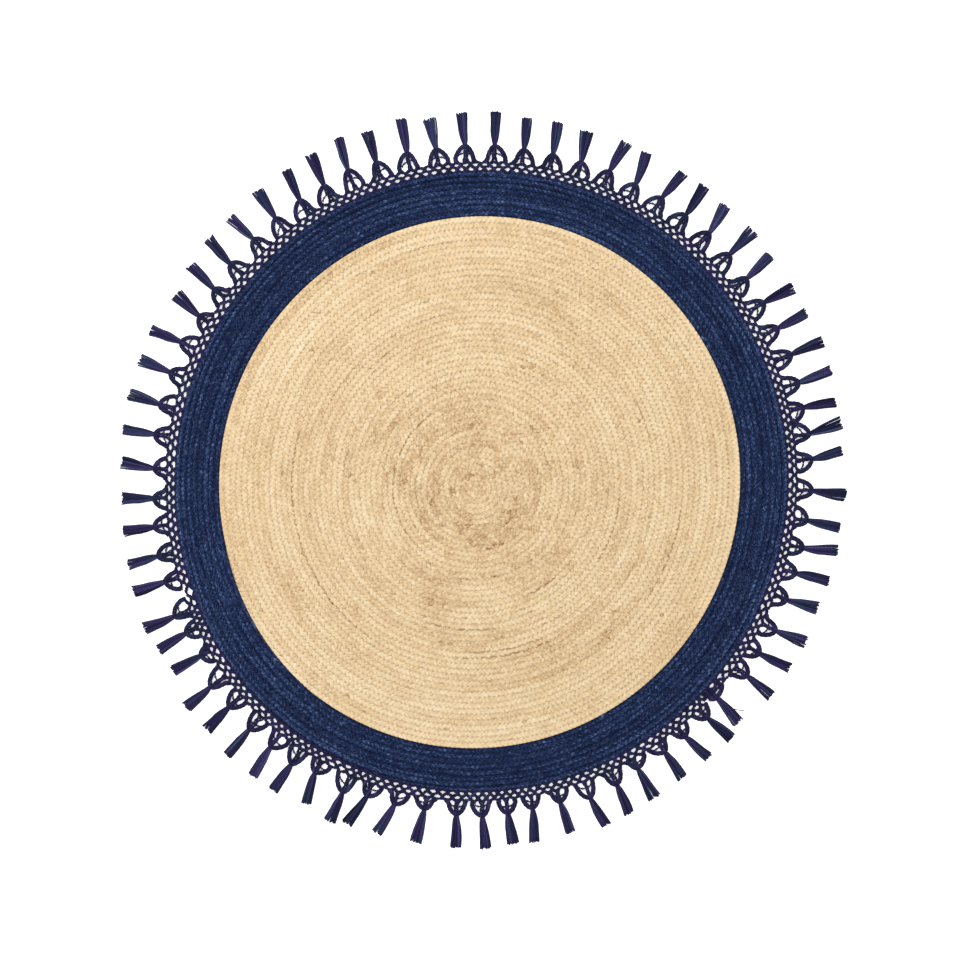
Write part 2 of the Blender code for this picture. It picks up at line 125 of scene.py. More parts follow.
# Metres below their highest place at which leaves take their full painted shade
SHADE_DEPTH = 0.0034
# The turn count where the braid starts, and the share of its width where its leaves end
COIL_START = -0.45
TAIL_END = 0.16
LEAF_SEED = 11

# The splice: turns over which it slants across the braid, how far towards it leaves reach in
# half braids, the least height of navy leaves on it, and the natural body's dip below them
SPLICE_SLANT = 0.10
SPLICE_REACH = 0.97
SPLICE_HEIGHT = 0.0067
SPLICE_DIP = 0.0022

# Arcs where a seam gapes and shows dark between the natural turns, through the gap itself and by
# painted shade on the leaves and body beside it. Rows: turns out, first angle, last angle
OPEN_ARCS = (
    (15.2, 132.0, 240.0), (11.4, 130.0, 195.0), (11.4, 352.0, 390.0), (29.6, 205.0, 244.0),
    (33.0, 120.0, 199.0), (25.2, 82.0, 113.0), (28.8, 64.0, 98.0), (30.2, 59.0, 98.0),
    (35.9, 4.0, 35.0), (24.8, 2.0, 37.0), (16.0, 73.0, 104.0), (20.9, 40.0, 68.0),
)
# Short faint arcs at random: how many, from which turn on, their lengths and strengths
SHORT_ARCS = 46
SHORT_ARCS_FROM = 4
SHORT_ARC_LENGTHS = (4.0, 22.0)
SHORT_ARC_STRENGTHS = (0.3, 0.8)
ARC_FADE = 5.0
GAPE_SEED = 31
# Shares of the leaves that stand back from a gaping seam and from any other, how much of the
# gape they take, and how far they are drawn in, in half braids, and down
OPEN_LEAVES = 0.42
OPEN_GAPES = (0.6, 1.0)
STRAY_LEAVES = 0.012
STRAY_GAPES = (0.4, 0.9)
OPEN_PULL = 0.19
OPEN_DIP = 0.0003

# Base of each coil, under the leaves
BASE_STEPS = 120
BASE_GROOVE = 0.0011

# Sewing thread over the seams
THREAD_PITCH = 0.0068
THREAD_REACH = 0.0021
THREAD_UNEVEN = 0.3
THREAD_HALF_WIDTH = 0.00028
THREAD_LOWEST = 0.0060
THREAD_LIFT = 0.00015
THREAD_CHUNK = 32

# Loose fibres on the leaves. Bends are in radians
FIBRE_LENGTHS = (0.006, 0.022)
FIBRE_HALF_WIDTHS = (0.00010, 0.00020)
FIBRE_TAPER = (0.5, 0.9, 1.0, 1.0, 0.8, 0.3)
FIBRE_LEVEL = 0.0077
FIBRE_LIFTS = (0.0002, 0.0016)
FIBRE_BEND = 2.2

# Lace: distances outwards from the rim, and places along it in cells, three to a tassel
CELLS = 3
LACE_SEED = 21
# The net's outer edge: metres from the centre, and metres out from the rim
NET_EDGE_RADIUS = 0.522
NET_EDGE = 0.0160
CORD_SIDES = 4
CORD_RADIUS = 0.00210
THIN_RADIUS = 0.0010
PAIR_SPREAD = 0.00150
ROPE_RADIUS = 0.0020
ROPE_SPREAD = 0.0026
TASSEL_CORD_RADIUS = 0.0014
# Height to width of twists and windings, which lie on the floor
FLATNESS = 0.55
# The most that a twist starts turned by, in radians
ANY_PHASE = 6.28
# Heading: distance out and height of its two cords
HEADING_CORDS = ((-0.0018, 0.0052), (0.0006, 0.0030))
# A crossing cord: cells along from its start, metres out, and heights at three distances out
CROSSING_CELLS = np.array([0.0, 0.40, 0.44, 0.60, 0.92, 0.94, 1.10, 1.5])
CROSSING_OUT = np.array([-0.0012, 0.0018, 0.0050, 0.0066, 0.0092, 0.0122, 0.0138, 0.0162])
CROSSING_HEIGHTS = (-0.0012, 0.004, 0.02), (0.0048, 0.0033, 0.0031)
# Knots: height, and the distances out between which each row's are wound
KNOT_HEIGHT = 0.0030
KNOT_ROWS = (0.0020, 0.0052), (0.0094, 0.0122), (0.0152, 0.0166)
KNOT = {"radius": 0.0030, "turns": 2.2, "steps": 12}
# A loop from its neck to the net: heights, its arms' shares of the way, and metres sideways
# up to the net. Its ropes' widths: shares of the way, and shares of the spread there
LOOP_HEIGHTS = np.array([0.0038, 0.0037, 0.0035, 0.0033, 0.0032, 0.0032])
ARM_FALL = np.array([0.0, 0.07, 0.26, 0.52, 0.78, 1.0])
ARM_REACH = np.array([0.0006, 0.0040, 0.0086, 0.0120, 0.0138])
ARM_WIDTHS = (0.0, 0.2, 0.8, 1.0), (0.45, 1.0, 1.0, 1.2)
MIDDLE_WIDTHS = (0.0, 0.3, 0.7, 1.0), (0.5, 0.95, 0.85, 1.8)
# How loops differ at random: how much wider one arm is than the other, shares of their feet,
# bulges and ropes, turns of twist, and metres up and sideways, which go for the net as well
LOOP_SKEW = 0.30
FOOT_SKEW = 0.4
FOOT_UNEVEN = 0.12
BULGES = (0.92, 1.08)
ARM_TWISTS = (0.9, 1.3)
MIDDLE_SPREADS = (0.8, 1.4)
HEIGHT_UNEVEN = 0.0002
DRIFT = 0.0008
# The cord tied across a loop. Places, slopes and sags are shares of the loop's length
TIE_PLACES = (0.40, 0.66)
TIE_SLOPE = 0.16
TIE_REACH = 0.0105
TIE_HEIGHT = 0.0026
TIE_SAG = np.array([0.10, 0.0, -0.04, -0.04, 0.0, 0.10])
# The bunched end's windings. Rows: cells back from the end, metres out
BUNCH = ((0.4, 0.003), (0.6, 0.009), (1.4, 0.004), (1.6, 0.010), (2.4, 0.004), (2.5, 0.011))
BUNCH_HEIGHT = 0.0042
BUNCH_WINDING = {"radius": 0.0036, "turns": 3.0, "length": 0.0075, "steps": 26}
# The loose thread there. Rows: metres along the tassel, metres beside it, height
LOOSE_THREAD = (
    (0.020, 0.002, 0.0040), (0.030, 0.006, 0.0036), (0.038, 0.011, 0.0022), (0.046, 0.018, 0.0010),
)
# A tassel: shares of its length, half widths there, of which the last two flare, and heights
TASSEL_STATIONS = np.array([0.0, 0.08, 0.20, 0.42, 0.72, 1.0])
TASSEL_HALF_WIDTHS = np.array([0.0018, 0.0032, 0.0046, 0.0064, 0.0079, 0.0088])
TASSEL_HEIGHTS = np.array([0.0036, 0.0040, 0.0038, 0.0032, 0.0027, 0.0024])
# Layers of a tassel's cords. Rows: cords, lanes to a half width, share of the height, lift
TASSEL_LAYERS = (9, 4.0, 0.40, 0.0005), (6, 3.2, 1.0, 0.0)
TASSEL_TAPER = (0.0, 0.1, 0.9, 1.0), (0.8, 1.0, 1.0, 0.9)
TASSEL_SIDES = 5
# How tassels and their cords differ at random: shares of flare, metres that they bend sideways,
# lanes that a cord strays, shares of length, metres that it wanders, and how many are split
TASSEL_FLARES = (0.85, 1.15)
TASSEL_BEND = 0.0035
LANE_UNEVEN = 0.06
CORD_LENGTHS = (0.965, 1.025)
CORD_WANDER = 0.0004
SPLIT_TASSELS = 0.2
# Metres to which a split tassel's two parts spread at the tip
SPLIT_SPREAD = (-0.0008, 0.0012)
# The cord bound round a tassel's neck
BINDING = {"radius": 0.0026, "turns": 3.2, "length": 0.0034, "steps": 22}
BINDING_HEIGHT = 0.0031
BINDING_OUT = 0.0004

UP = (0.0, 0.0, 1.0)


def smooth(value):
    """Ease from 0 to 1."""
    value = np.clip(value, 0.0, 1.0)
    return value * value * (3.0 - 2.0 * value)


def direction(angle):
    """Unit vectors at angles clockwise from +X."""
    turn = np.radians(angle)
    return np.stack([np.cos(turn), -np.sin(turn), np.zeros_like(turn)], axis=-1)


def border_share(turns_out):
    """How far across the border lines lie, from 0 at its inner edge to 1 at the rim."""
    return np.clip((turns_out - NATURAL_TURNS) / BORDER_TURNS, 0.0, 1.0)


def coil_radius(turns_out, angle):
    """Radius of a line that many braid widths from the centre."""
    share = NATURAL_OVAL_SHARE + (OVAL_SHARE - NATURAL_OVAL_SHARE) * border_share(turns_out)
    oval = share * np.cos(2.0 * np.radians(angle - OVAL_AXIS))
    return turns_out * BRAID_WIDTH * (1.0 + oval)


def rim_shift(angle):
    """Metres that the rim bulges outwards at these angles."""
    angles, shifts = zip(*RIM_SHIFTS)
    return np.interp(np.mod(angle, FULL_TURN), angles, shifts)


def coil_point(turns_out, angle, height, outwards=0.0):
    """Points on the turns, which drift from the hub to the natural part's centre, and the
    border's on to the origin."""
    turns_out, angle, height, outwards = np.broadcast_arrays(turns_out, angle, height, outwards)
    natural_share = np.minimum(turns_out / NATURAL_TURNS, 1.0)
    border = border_share(turns_out)
    centre = HUB_CENTRE + (NATURAL_CENTRE - HUB_CENTRE) * natural_share[..., None]
    centre = centre * (1.0 - border[..., None])
    held = 1.0 - smooth((outwards - SHIFT_FADE[0]) / (SHIFT_FADE[1] - SHIFT_FADE[0]))
    reach = coil_radius(turns_out, angle) + rim_shift(angle) * border * held + outwards
    points = centre + direction(angle) * reach[..., None]
    points[..., 2] = height
    return points


def widening(turn, sweep):
    """Braid widths that a turn's seam has moved outwards after this sweep."""
    even = sweep / FULL_TURN
    late = smooth((sweep - FULL_TURN + OUTWARD_SWEEP) / OUTWARD_SWEEP)
    return even + (late - even) * np.minimum(np.maximum(turn, 0) / EVEN_SPIRAL_TURNS, 1.0)


def unseen_tassels(draw):
    """Rows for the tassels that the photo doesn't show, evenly spaced."""
    first, last = LONG_TASSELS_BEFORE[-1][0], LONG_TASSELS_AFTER[0][0]
    pitch = (last - first) / (UNSEEN_TASSELS + 1)
    rows = []
    for number in range(1, UNSEEN_TASSELS + 1):
        rise = UNSEEN_RISE + draw.uniform(-UNSEEN_RISE_UNEVEN, UNSEEN_RISE_UNEVEN)
        rows.append((first + pitch * number, rise, draw.uniform(-UNSEEN_LEAN, UNSEEN_LEAN)))
    return tuple(rows)


def draw_tassels():
    """Per trim length: the edges of its repeats, and a dictionary of sizes for each tassel."""
    draw = random.Random(TASSEL_SEED)
    long_rows = LONG_TASSELS_BEFORE + unseen_tassels(draw) + LONG_TASSELS_AFTER
    lengths = []
    for (name, first_edge, last_edge), rows in zip(TRIM_LENGTHS, (long_rows, SHORT_TASSELS)):
        tassels = []
        for angle, rise, lean in rows:
            length = TASSEL_LENGTH + draw.uniform(-TASSEL_UNEVEN, TASSEL_UNEVEN)
            tassels.append({"angle": angle, "rise": 0.001 * rise, "lean": lean, "length": length})
        middles = [0.5 * (a["angle"] + b["angle"]) for a, b in zip(tassels, tassels[1:])]
        lengths.append((name, [first_edge] + middles + [last_edge], tassels))
    return lengths


LENGTHS = draw_tassels()
EDGES = [edge for _, edges, _ in LENGTHS for edge in edges]
# Angle at which the border starts and ends
SPLICE = min(EDGES, key=lambda edge: abs(edge - SPLICE_NEAR))


# Meshes of many strands


def placed(name, data, location=(0.0, 0.0, 0.0)):
    """Object with this data, linked to the scene."""
    thing = bpy.data.objects.new(name, data)
    thing.location = location
    bpy.context.scene.collection.objects.link(thing)
    return thing


def finish_piece(thing):
    """Rides on the one body."""
    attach(thing, "root")
    return thing


def unit(vectors):
    """Vectors scaled to a length of 1."""
    return vectors / np.maximum(np.linalg.norm(vectors, axis=-1, keepdims=True), 1e-9)


def pairs(first, second):
    """Pairs of two arrays that are broadcast to each other."""
    return np.stack(np.broadcast_arrays(first, second), -1)


def along_path(count, places, values):
    """Values at even steps from 0 to 1, from those at some places."""
    return np.interp(np.linspace(0.0, 1.0, count), places, values)


class Strands:
    """Collects strands, each a grid of points along and across it, into one mesh."""

    # Where a strand's sides and its two caps lie in its cell of the bake atlas
    SIDES_START = 0.04, 0.06
    SIDES_SIZE = 0.82, 0.88
    CAPS_MIDDLE = 0.895, 0.955
    CAPS_RADIUS = 0.02, 0.3

    def __init__(self):
        self.points, self.tones, self.painted_shades = [], [], []
        self.faces, self.fibres, self.cells = [], [], []
        self.count = 0
        self.strands = 0

    def add(self, points, tone, painted_shade, closed):
        """Adds an array of strands x stations x across x 3. Closed strands are capped tubes."""
        strands, stations, across = points.shape[:3]
        index = self.count + np.arange(strands * stations * across)
        index = index.reshape(strands, stations, across)
        self.count += index.size
        self.points.append(points.reshape(-1, 3))
        tone = np.clip(tone, 0.0, 1.0)[:, None, None]
        self.tones.append(np.broadcast_to(tone, index.shape).ravel())
        # How much painted shade each point takes
        self.painted_shades.append(np.broadcast_to(painted_shade, index.shape).ravel())

        steps = np.linalg.norm(np.diff(points.mean(axis=2), axis=1), axis=-1)
        lengthwise = np.concatenate([np.zeros((strands, 1)), np.cumsum(steps, axis=1)], axis=1)
        faces_across = across if closed else across - 1
        ahead = (0, 0, 1, 1) if closed else (1, 1, 0, 0)
        rows = np.arange(stations - 1)[:, None, None] + np.array(ahead)
        columns = np.arange(faces_across)[:, None] + np.array((0, 1, 1, 0))
        quads = index[:, rows, columns % across]
        share = columns / faces_across
        u = self.SIDES_START[0] + self.SIDES_SIZE[0] * (rows / (stations - 1))
        v = self.SIDES_START[1] + self.SIDES_SIZE[1] * share
        number = self.strands + np.arange(strands)
        owner = np.broadcast_to(number[:, None, None, None], quads.shape)
        place = np.broadcast_to(pairs(u, v), quads.shape + (2,))
        self.faces.append(quads.reshape(-1, 4))
        self.fibres.append(pairs(lengthwise[:, rows], share).reshape(-1, 4, 2))
        self.cells.append((owner.reshape(-1, 4), place.reshape(-1, 4, 2)))
        if closed:
            self.add_caps(index, lengthwise, number)
        self.strands += strands

    def add_caps(self, index, lengthwise, number):
        """Closes both ends of tubes."""
        turn = np.arange(index.shape[2]) / index.shape[2] * math.tau
        orders = slice(None, None, -1), slice(None)
        for station, middle, order in zip((0, -1), self.CAPS_MIDDLE, orders):
            ring = index[:, station, order]
            u = middle + self.CAPS_RADIUS[0] * np.cos(turn)
            v = 0.5 + self.CAPS_RADIUS[1] * np.sin(turn)
            owner = np.broadcast_to(number[:, None], ring.shape)
            self.faces.append(ring)
            self.fibres.append(pairs(lengthwise[:, station, None], turn / math.tau))
            self.cells.append((owner, np.broadcast_to(pairs(u, v)[order], ring.shape + (2,))))

    def build(self, name, material, slot, stretch=2.0):
        """One smooth-shaded piece, with its bake atlas of one cell to a strand."""
        mesh = bpy.data.meshes.new(name)
        points = np.concatenate(self.points)
        corners = np.concatenate([face.ravel() for face in self.faces])
        sizes = np.concatenate([np.full(len(face), face.shape[1]) for face in self.faces])
        starts = np.concatenate([[0], np.cumsum(sizes)[:-1]])
        mesh.vertices.add(len(points))
        mesh.vertices.foreach_set("co", points.astype(np.float32).ravel())
        mesh.loops.add(len(corners))
        mesh.loops.foreach_set("vertex_index", corners.astype(np.int32))
        mesh.polygons.add(len(sizes))
        mesh.polygons.foreach_set("loop_start", starts.astype(np.int32))
        mesh.update(calc_edges=True)
        mesh.polygons.foreach_set("use_smooth", np.ones(len(sizes), bool))

        columns = max(1, math.ceil(math.sqrt(self.strands / stretch)))
        rows = math.ceil(self.strands / columns)
        atlas = []
        for owner, place in self.cells:
            u = (owner % columns + place[..., 0]) / columns
            v = (owner // columns + place[..., 1]) / rows
            atlas.append(np.stack([u, v], -1).reshape(-1, 2))
        fibres = [uv.reshape(-1, 2) for uv in self.fibres]
        for layer_name, values in (("fibres", fibres), ("OFBake", atlas)):
            layer = mesh.uv_layers.new(name=layer_name)
            layer.uv.foreach_set("vector", np.concatenate(values).astype(np.float32).ravel())
        # Per point: its tone, and how much painted shade the material puts on it
        for attribute_name, values in (("tone", self.tones), ("painted_shade", self.painted_shades)):
            attribute = mesh.attributes.new(attribute_name, "FLOAT", "POINT")
            attribute.data.foreach_set("value", np.concatenate(values).astype(np.float32))
        mesh.materials.append(material)
        return finish_piece(placed(name, mesh))


def curve_through(points, samples):
    """Smooth curves through arrays of points: strands x points x 3 to strands x samples x 3."""
    ends = np.concatenate([
        2.0 * points[:, :1] - points[:, 1:2], points, 2.0 * points[:, -1:] - points[:, -2:-1],
    ], axis=1)
    place = np.linspace(0.0, points.shape[1] - 1.0, samples)
    first = np.minimum(place.astype(int), points.shape[1] - 2)
    t = (place - first)[None, :, None]
    a, b, c, d = (ends[:, first + step] for step in range(4))
    return 0.5 * (
        2.0 * b + (c - a) * t + (2.0 * a - 5.0 * b + 4.0 * c - d) * t ** 2
        + (3.0 * b - a - 3.0 * c + d) * t ** 3
    )


def path_frames(paths, up=UP):
    """Sideways and upward unit vectors along paths."""
    tangents = unit(np.gradient(paths, axis=1))
    sides = unit(np.cross(np.broadcast_to(up, tangents.shape), tangents))
    return sides, np.cross(tangents, sides)


def tubes(paths, radius, sides, up=UP):
    """Rings of points round paths, for Strands.add. Radius is a number or strands x stations."""
    across, above = path_frames(paths, up)
    turn = (np.arange(sides) + 0.5) / sides * math.tau
    radius = np.broadcast_to(radius, paths.shape[:2])[..., None, None]
    ring = np.cos(turn)[:, None] * across[:, :, None] + np.sin(turn)[:, None] * above[:, :, None]
    return paths[:, :, None] + radius * ring


def twisted_pair(paths, spread, twists, phase):
    """Two paths that twist flatly round each path. Twists is turns over its length."""
    across, above = path_frames(paths)
    along = np.linspace(0.0, 1.0, paths.shape[1])[None, :] * twists * math.tau + phase[:, None]
    offset = np.cos(along)[..., None] * across + FLATNESS * np.sin(along)[..., None] * above
    return np.concatenate([paths + spread * offset, paths - spread * offset])


# The braid


class BraidPath:
    """The braid's course: lengths along its centre line to places on the coil."""

    def __init__(self):
        self.turns = np.arange(COIL_START, ALL_TURNS, 0.002)
        points = self.points(self.turns, 0.0, 0.0)
        steps = np.linalg.norm(np.diff(points, axis=0), axis=-1)
        self.lengths = np.concatenate([[0.0], np.cumsum(steps)])

    @staticmethod
    def seams(turns):
        """Inner and outer seams, in braid widths from the centre, after this many turns."""
        turn = np.floor(turns)
        sweep = (turns - turn) * FULL_TURN
        inner = np.where(turn < 0, 0.0, turn + widening(turn, sweep))
        outer = turn + 1.0 + widening(turn + 1.0, sweep)
        outer = np.where(turn >= ALL_TURNS - 1, ALL_TURNS, outer)
        return inner, outer

    def points(self, turns, across, height):
        """Points after this many turns, across from -1, the inner seam, to 1, the outer."""
        inner, outer = self.seams(turns)
        turns_out = inner + 0.5 * (across + 1.0) * (outer - inner)
        return coil_point(turns_out, SPLICE + turns * FULL_TURN, height)

    def turns_at(self, lengths):
        """Turns after these metres of braid."""
        return np.interp(lengths, self.lengths, self.turns)

    def length_at(self, turns):
        """Metres of braid after this many turns."""
        return float(np.interp(turns, self.turns, self.lengths))


BRAID = BraidPath()


def slow_noise(places, scale, draw):
    """Smooth noise from -1 to 1 along a line, with about one swing to a scale."""
    knots = draw.uniform(-1.0, 1.0, int(np.max(places) / scale) + 4)
    place = places / scale
    first = place.astype(int)
    return knots[first] + (knots[first + 1] - knots[first]) * smooth(place - first)


def draw_gapes():
    """The arcs where seams gape: those in the table, and short faint ones at random."""
    draw = np.random.default_rng(GAPE_SEED)
    arcs = [(turn, first, last, 1.0) for turn, first, last in OPEN_ARCS]
    for _ in range(SHORT_ARCS):
        first = draw.uniform(0.0, FULL_TURN)
        last = first + draw.uniform(*SHORT_ARC_LENGTHS)
        turn = float(draw.integers(SHORT_ARCS_FROM, NATURAL_TURNS))
        arcs.append((turn, first, last, draw.uniform(*SHORT_ARC_STRENGTHS)))
    return arcs


GAPES = draw_gapes()


def seam_gape(turns_out, angle):
    """How far seams gape, from 0 to 1."""
    gape = np.zeros(np.broadcast(turns_out, angle).shape)
    for turn, first, last, strength in GAPES:
        past = np.mod(angle - first, FULL_TURN)
        ends = smooth(past / ARC_FADE) * smooth((last - first - past) / ARC_FADE)
        near = np.clip(1.4 - np.abs(turns_out - turn) / 0.5, 0.0, 1.0)
        gape = np.maximum(gape, strength * near * ends)
    return gape


def leaf_points(lengths, side, angles, draw, look):
    """Leaves of strands that cross over the braid from one edge to just past its middle, and the
    painted shade of their points.
    """
    count = len(lengths)
    uneven = (draw.uniform(-most, most, (count, 1)) for most in LEAF_UNEVEN)
    swing, width, lift, shift, tilt = uneven
    swing = look["swing"] * (1.0 + swing)
    width = look["half_width"] * (1.0 + width)
    phase = angles[None, :]
    along = lengths[:, None] + shift + (phase - LEAF_MIDDLE) / math.tau * STRAND_PERIOD
    across = swing * np.sin(phase)
    height = look["level"] - look["rise"] * np.sin(2.0 * phase) + lift

    # The leaf's width lies square to its course
    run = STRAND_PERIOD / math.tau
    rise = swing * np.cos(phase) * (1.0 + tilt)
    norm = np.sqrt(run ** 2 + rise ** 2)
    profile = along_path(len(angles), np.linspace(0.0, 1.0, len(LEAF_WIDTHS)), LEAF_WIDTHS)
    share = np.array(LEAF_ACROSS)
    reach = width[..., None] * profile[None, :, None] * share
    along = along[..., None] - reach * (rise / norm)[..., None]
    across = side * (across[..., None] + reach * (run / norm)[..., None])
    height = height[..., None] - look["drop"] * np.abs(share) ** LEAF_ROUNDING
    if side < 0:
        along, across, height = along[..., ::-1], across[..., ::-1], height[..., ::-1]
    along = np.clip(along, BRAID.length_at(look["from"]), BRAID.length_at(look["to"]))
    turns = BRAID.turns_at(along)
    inner, outer = BRAID.seams(turns)
    narrow = np.clip(outer - inner, 0.0, 1.0)
    height = np.where(narrow < 0.999, height * (0.55 + 0.45 * narrow), height)

    # At the splice, the leaves of one colour stop where the other's begin
    across = across / (0.5 * BRAID_WIDTH)
    past_splice = np.clip((turns - NATURAL_TURNS) / SPLICE_SLANT + 1.0, 0.0, 1.0)
    splice = SPLICE_REACH * (1.0 - 2.0 * past_splice)
    if look is NAVY:
        across = np.where(turns < NATURAL_TURNS + 1, np.maximum(across, splice), across)
    else:
        across = np.where(turns >= NATURAL_TURNS - 1, np.minimum(across, splice), across)
    height = height - look["dome"] * np.minimum(np.abs(across), 1.2) ** 2
    if look is NAVY:
        beside = np.abs(turns - NATURAL_TURNS - 1 + 0.5 * SPLICE_SLANT) < 0.6 * SPLICE_SLANT
        raised = (turns < NATURAL_TURNS) | (beside & (across < 0.0))
        across = np.where(beside & (across < -0.5), across - 0.10, across)
        height = np.where(raised, np.maximum(height, SPLICE_HEIGHT), height)

    # Some leaves stand back from their seam and let the body show, and take painted shade at their
    # edges there
    seam = (outer if side > 0 else inner)[:, 0, 0]
    gape = seam_gape(seam, SPLICE + turns[:, 0, 0] * FULL_TURN) * look["gape"]
    opens = draw.uniform(0.0, 1.0, count) < OPEN_LEAVES
    gape = np.where(opens, gape * draw.uniform(*OPEN_GAPES, count), 0.0)
    stray = draw.uniform(0.0, 1.0, count) < STRAY_LEAVES
    gape = np.where(stray, look["gape"] * draw.uniform(*STRAY_GAPES, count), gape)
    back = gape[:, None, None] * smooth((np.abs(across) - 0.40) / 0.5)
    points = BRAID.points(turns, across * (1.0 - OPEN_PULL * back), height - OPEN_DIP * back)
    # Painted shade: points darken the lower they lie below the leaves' top, and edges drawn back
    # from a gaping seam as far as they gape
    recess_shade = look["shade"] * np.clip((LEAF_TOP - height) / SHADE_DEPTH, 0.0, 1.0)
    return points, np.maximum(recess_shade, back)


def add_leaves(strands, first_turn, last_turn, draw, look):
    """Both sides' leaves of the braid between two turn counts."""
    low, high = BRAID.length_at(first_turn), BRAID.length_at(last_turn)
    for side in (-1, 1):
        offset = 0.25 * (1 + side) * LEAF_PITCH
        first, last = (math.ceil((end - offset) / LEAF_PITCH) for end in (low, high))
        lengths = np.arange(first, last) * LEAF_PITCH + offset
        inner, outer = BRAID.seams(BRAID.turns_at(lengths))
        lengths = lengths[outer - inner > TAIL_END]
        tone = look["tone"](lengths, draw)
        angles = np.linspace(LEAF_START, LEAF_END, LEAF_STATIONS)
        if side > 0 and last_turn == ALL_TURNS:
            round_rim = np.linspace(RIM_LEAF_START, LEAF_START, LEAF_STATIONS)[:-1]
            angles = np.concatenate([round_rim, angles])
        # Leaf points, and their painted shade
        points, recess_shade = leaf_points(lengths, side, angles, draw, look)
        strands.add(points, tone, recess_shade, closed=False)


def patch_noise(turns, seed, turns_wide=4.5, patches_round=14):
    """Smooth noise from -1 to 1 over the rug, in patches a few turns wide."""
    rows = int(ALL_TURNS / turns_wide) + 3
    knots = np.random.default_rng(seed).uniform(-1.0, 1.0, (rows, patches_round))
    row = np.clip(turns, 0.0, ALL_TURNS) / turns_wide
    column = np.mod(turns, 1.0) * patches_round
    low_row, low_column = row.astype(int), column.astype(int) % patches_round
    next_column = (low_column + 1) % patches_round
    down, along = smooth(row - low_row), smooth(column - np.floor(column))
    first, second = (
        knots[row, low_column] * (1.0 - along) + knots[row, next_column] * along
        for row in (low_row, low_row + 1)
    )
    return first * (1.0 - down) + second * down


def with_flecks(tone, draw, share, lowest, highest):
    """Tones, of which a small share is drawn anew between two."""
    flecks = draw.uniform(0.0, 1.0, len(tone)) < share
    return np.where(flecks, draw.uniform(lowest, highest, len(tone)), tone)


def natural_tones(lengths, draw):
    """Tone of each natural leaf: rings, patches, stretches along the braid and single leaves.

    The middle of the rug is darker, and single leaves differ more there.
    """
    noise = np.random.default_rng(LEAF_SEED + 1)
    rings = np.random.default_rng(LEAF_SEED + 2).uniform(-1.0, 1.0, ALL_TURNS + 2)
    turns = BRAID.turns_at(lengths)
    tone = (
        0.55 + 0.035 * rings[np.clip(turns.astype(int), 0, ALL_TURNS)]
        + 0.09 * patch_noise(turns, LEAF_SEED + 4)
        + 0.12 * patch_noise(turns, LEAF_SEED + 6, 1.3, 26)
        + 0.04 * slow_noise(lengths, 0.55, noise) + 0.07 * slow_noise(lengths, 0.035, noise)
        + draw.normal(0.0, 0.07, len(lengths)) * (1.4 - 0.5 * smooth(turns / 40.0))
        - 0.11 * (1.0 - smooth(turns / 24.0)) + 0.05 * smooth((turns - 32.0) / 12.0)
    )
    return with_flecks(tone, draw, 0.002, 0.20, 0.36)


def navy_tones(lengths, draw):
    """Tone of each navy leaf: dye that took unevenly, painted light and shade on the braid's two
    slopes, and a few pale slate flecks.
    """
    noise = np.random.default_rng(LEAF_SEED + 3)
    # Tones by turn, drawn anew for each side of the braid: partly uneven dye, partly painted light
    # and shade on the braid's two slopes
    rings = draw.uniform(-1.0, 1.0, ALL_TURNS + 2)
    turns = BRAID.turns_at(lengths)
    tone = (
        0.42 + 0.15 * np.interp(turns, np.arange(ALL_TURNS + 2), rings)
        + 0.06 * slow_noise(lengths, 0.35, noise) + 0.10 * slow_noise(lengths, 0.060, draw)
        + 0.05 * patch_noise(turns, LEAF_SEED + 5) + draw.normal(0.0, 0.05, len(lengths))
    )
    return with_flecks(tone, draw, 0.012, 0.58, 0.74)


# How each part's braid looks: the turns it runs between, how its leaves get their tones, their
# sizes in metres, how much painted shade they take and how much gaping seams show, and its
# body's heights at seam and ridge
NATURAL = {
    "from": COIL_START, "to": NATURAL_TURNS, "tone": natural_tones,
    "swing": 0.0029, "half_width": 0.0027, "level": 0.0072, "rise": 0.0008, "drop": 0.0005,
    "dome": 0.0, "shade": 0.20, "gape": 1.0, "base": (0.0061, 0.0063),
}
NAVY = {
    "from": NATURAL_TURNS - SPLICE_SLANT, "to": ALL_TURNS, "tone": navy_tones,
    "swing": 0.00255, "half_width": 0.0025, "level": 0.0069, "rise": 0.0012, "drop": 0.0009,
    "dome": 0.0014, "shade": 1.0, "gape": 0.0, "base": (0.0040, 0.0052),
}


def body_levels(solid, first_turn, last_turn, look):
    """Upper and lower vertices of a coil's body, by half turns out and steps round, with painted
    shade on upper vertices at gaping seams and at the splice.
    """
    painted_shade = solid.verts.layers.float.new("painted_shade")
    seam_height, ridge_height = look["base"]
    tops, floors = {}, {}
    for index in range(2 * first_turn, 2 * last_turn + 1):
        turn, on_ridge = divmod(index, 2)
        for step, sweep in enumerate(np.arange(BASE_STEPS + 1) / BASE_STEPS * FULL_TURN):
            turns_out = min(turn + 0.5 * on_ridge + widening(float(turn), sweep), ALL_TURNS)
            tail = 1.0 if turn < ALL_TURNS - 1 else 1.0 - widening(ALL_TURNS - 1.0, sweep)
            if turn == ALL_TURNS - 1 and on_ridge:
                turns_out = ALL_TURNS - 0.5 * tail
            top = seam_height + (ridge_height - seam_height) * on_ridge * tail
            low = BASE_GROOVE * (1.0 - on_ridge) * min(tail + 0.2, 1.0)
            angle = SPLICE + sweep
            spliced = first_turn == 0 and index >= 2 * last_turn - 1
            spliced = spliced and sweep > FULL_TURN * (1.0 - SPLICE_SLANT)
            if spliced:
                top = top - SPLICE_DIP
            tops[index, step] = solid.verts.new(coil_point(turns_out, angle, top))
            floors[index, step] = solid.verts.new(coil_point(turns_out, angle, low))
            # Painted shade: upper vertices under the splice take it fully, and seam vertices as
            # far as their seam gapes
            if spliced:
                tops[index, step][painted_shade] = 1.0
            elif not on_ridge:
                tops[index, step][painted_shade] = float(seam_gape(turns_out, angle)) * look["gape"]
    return tops, floors


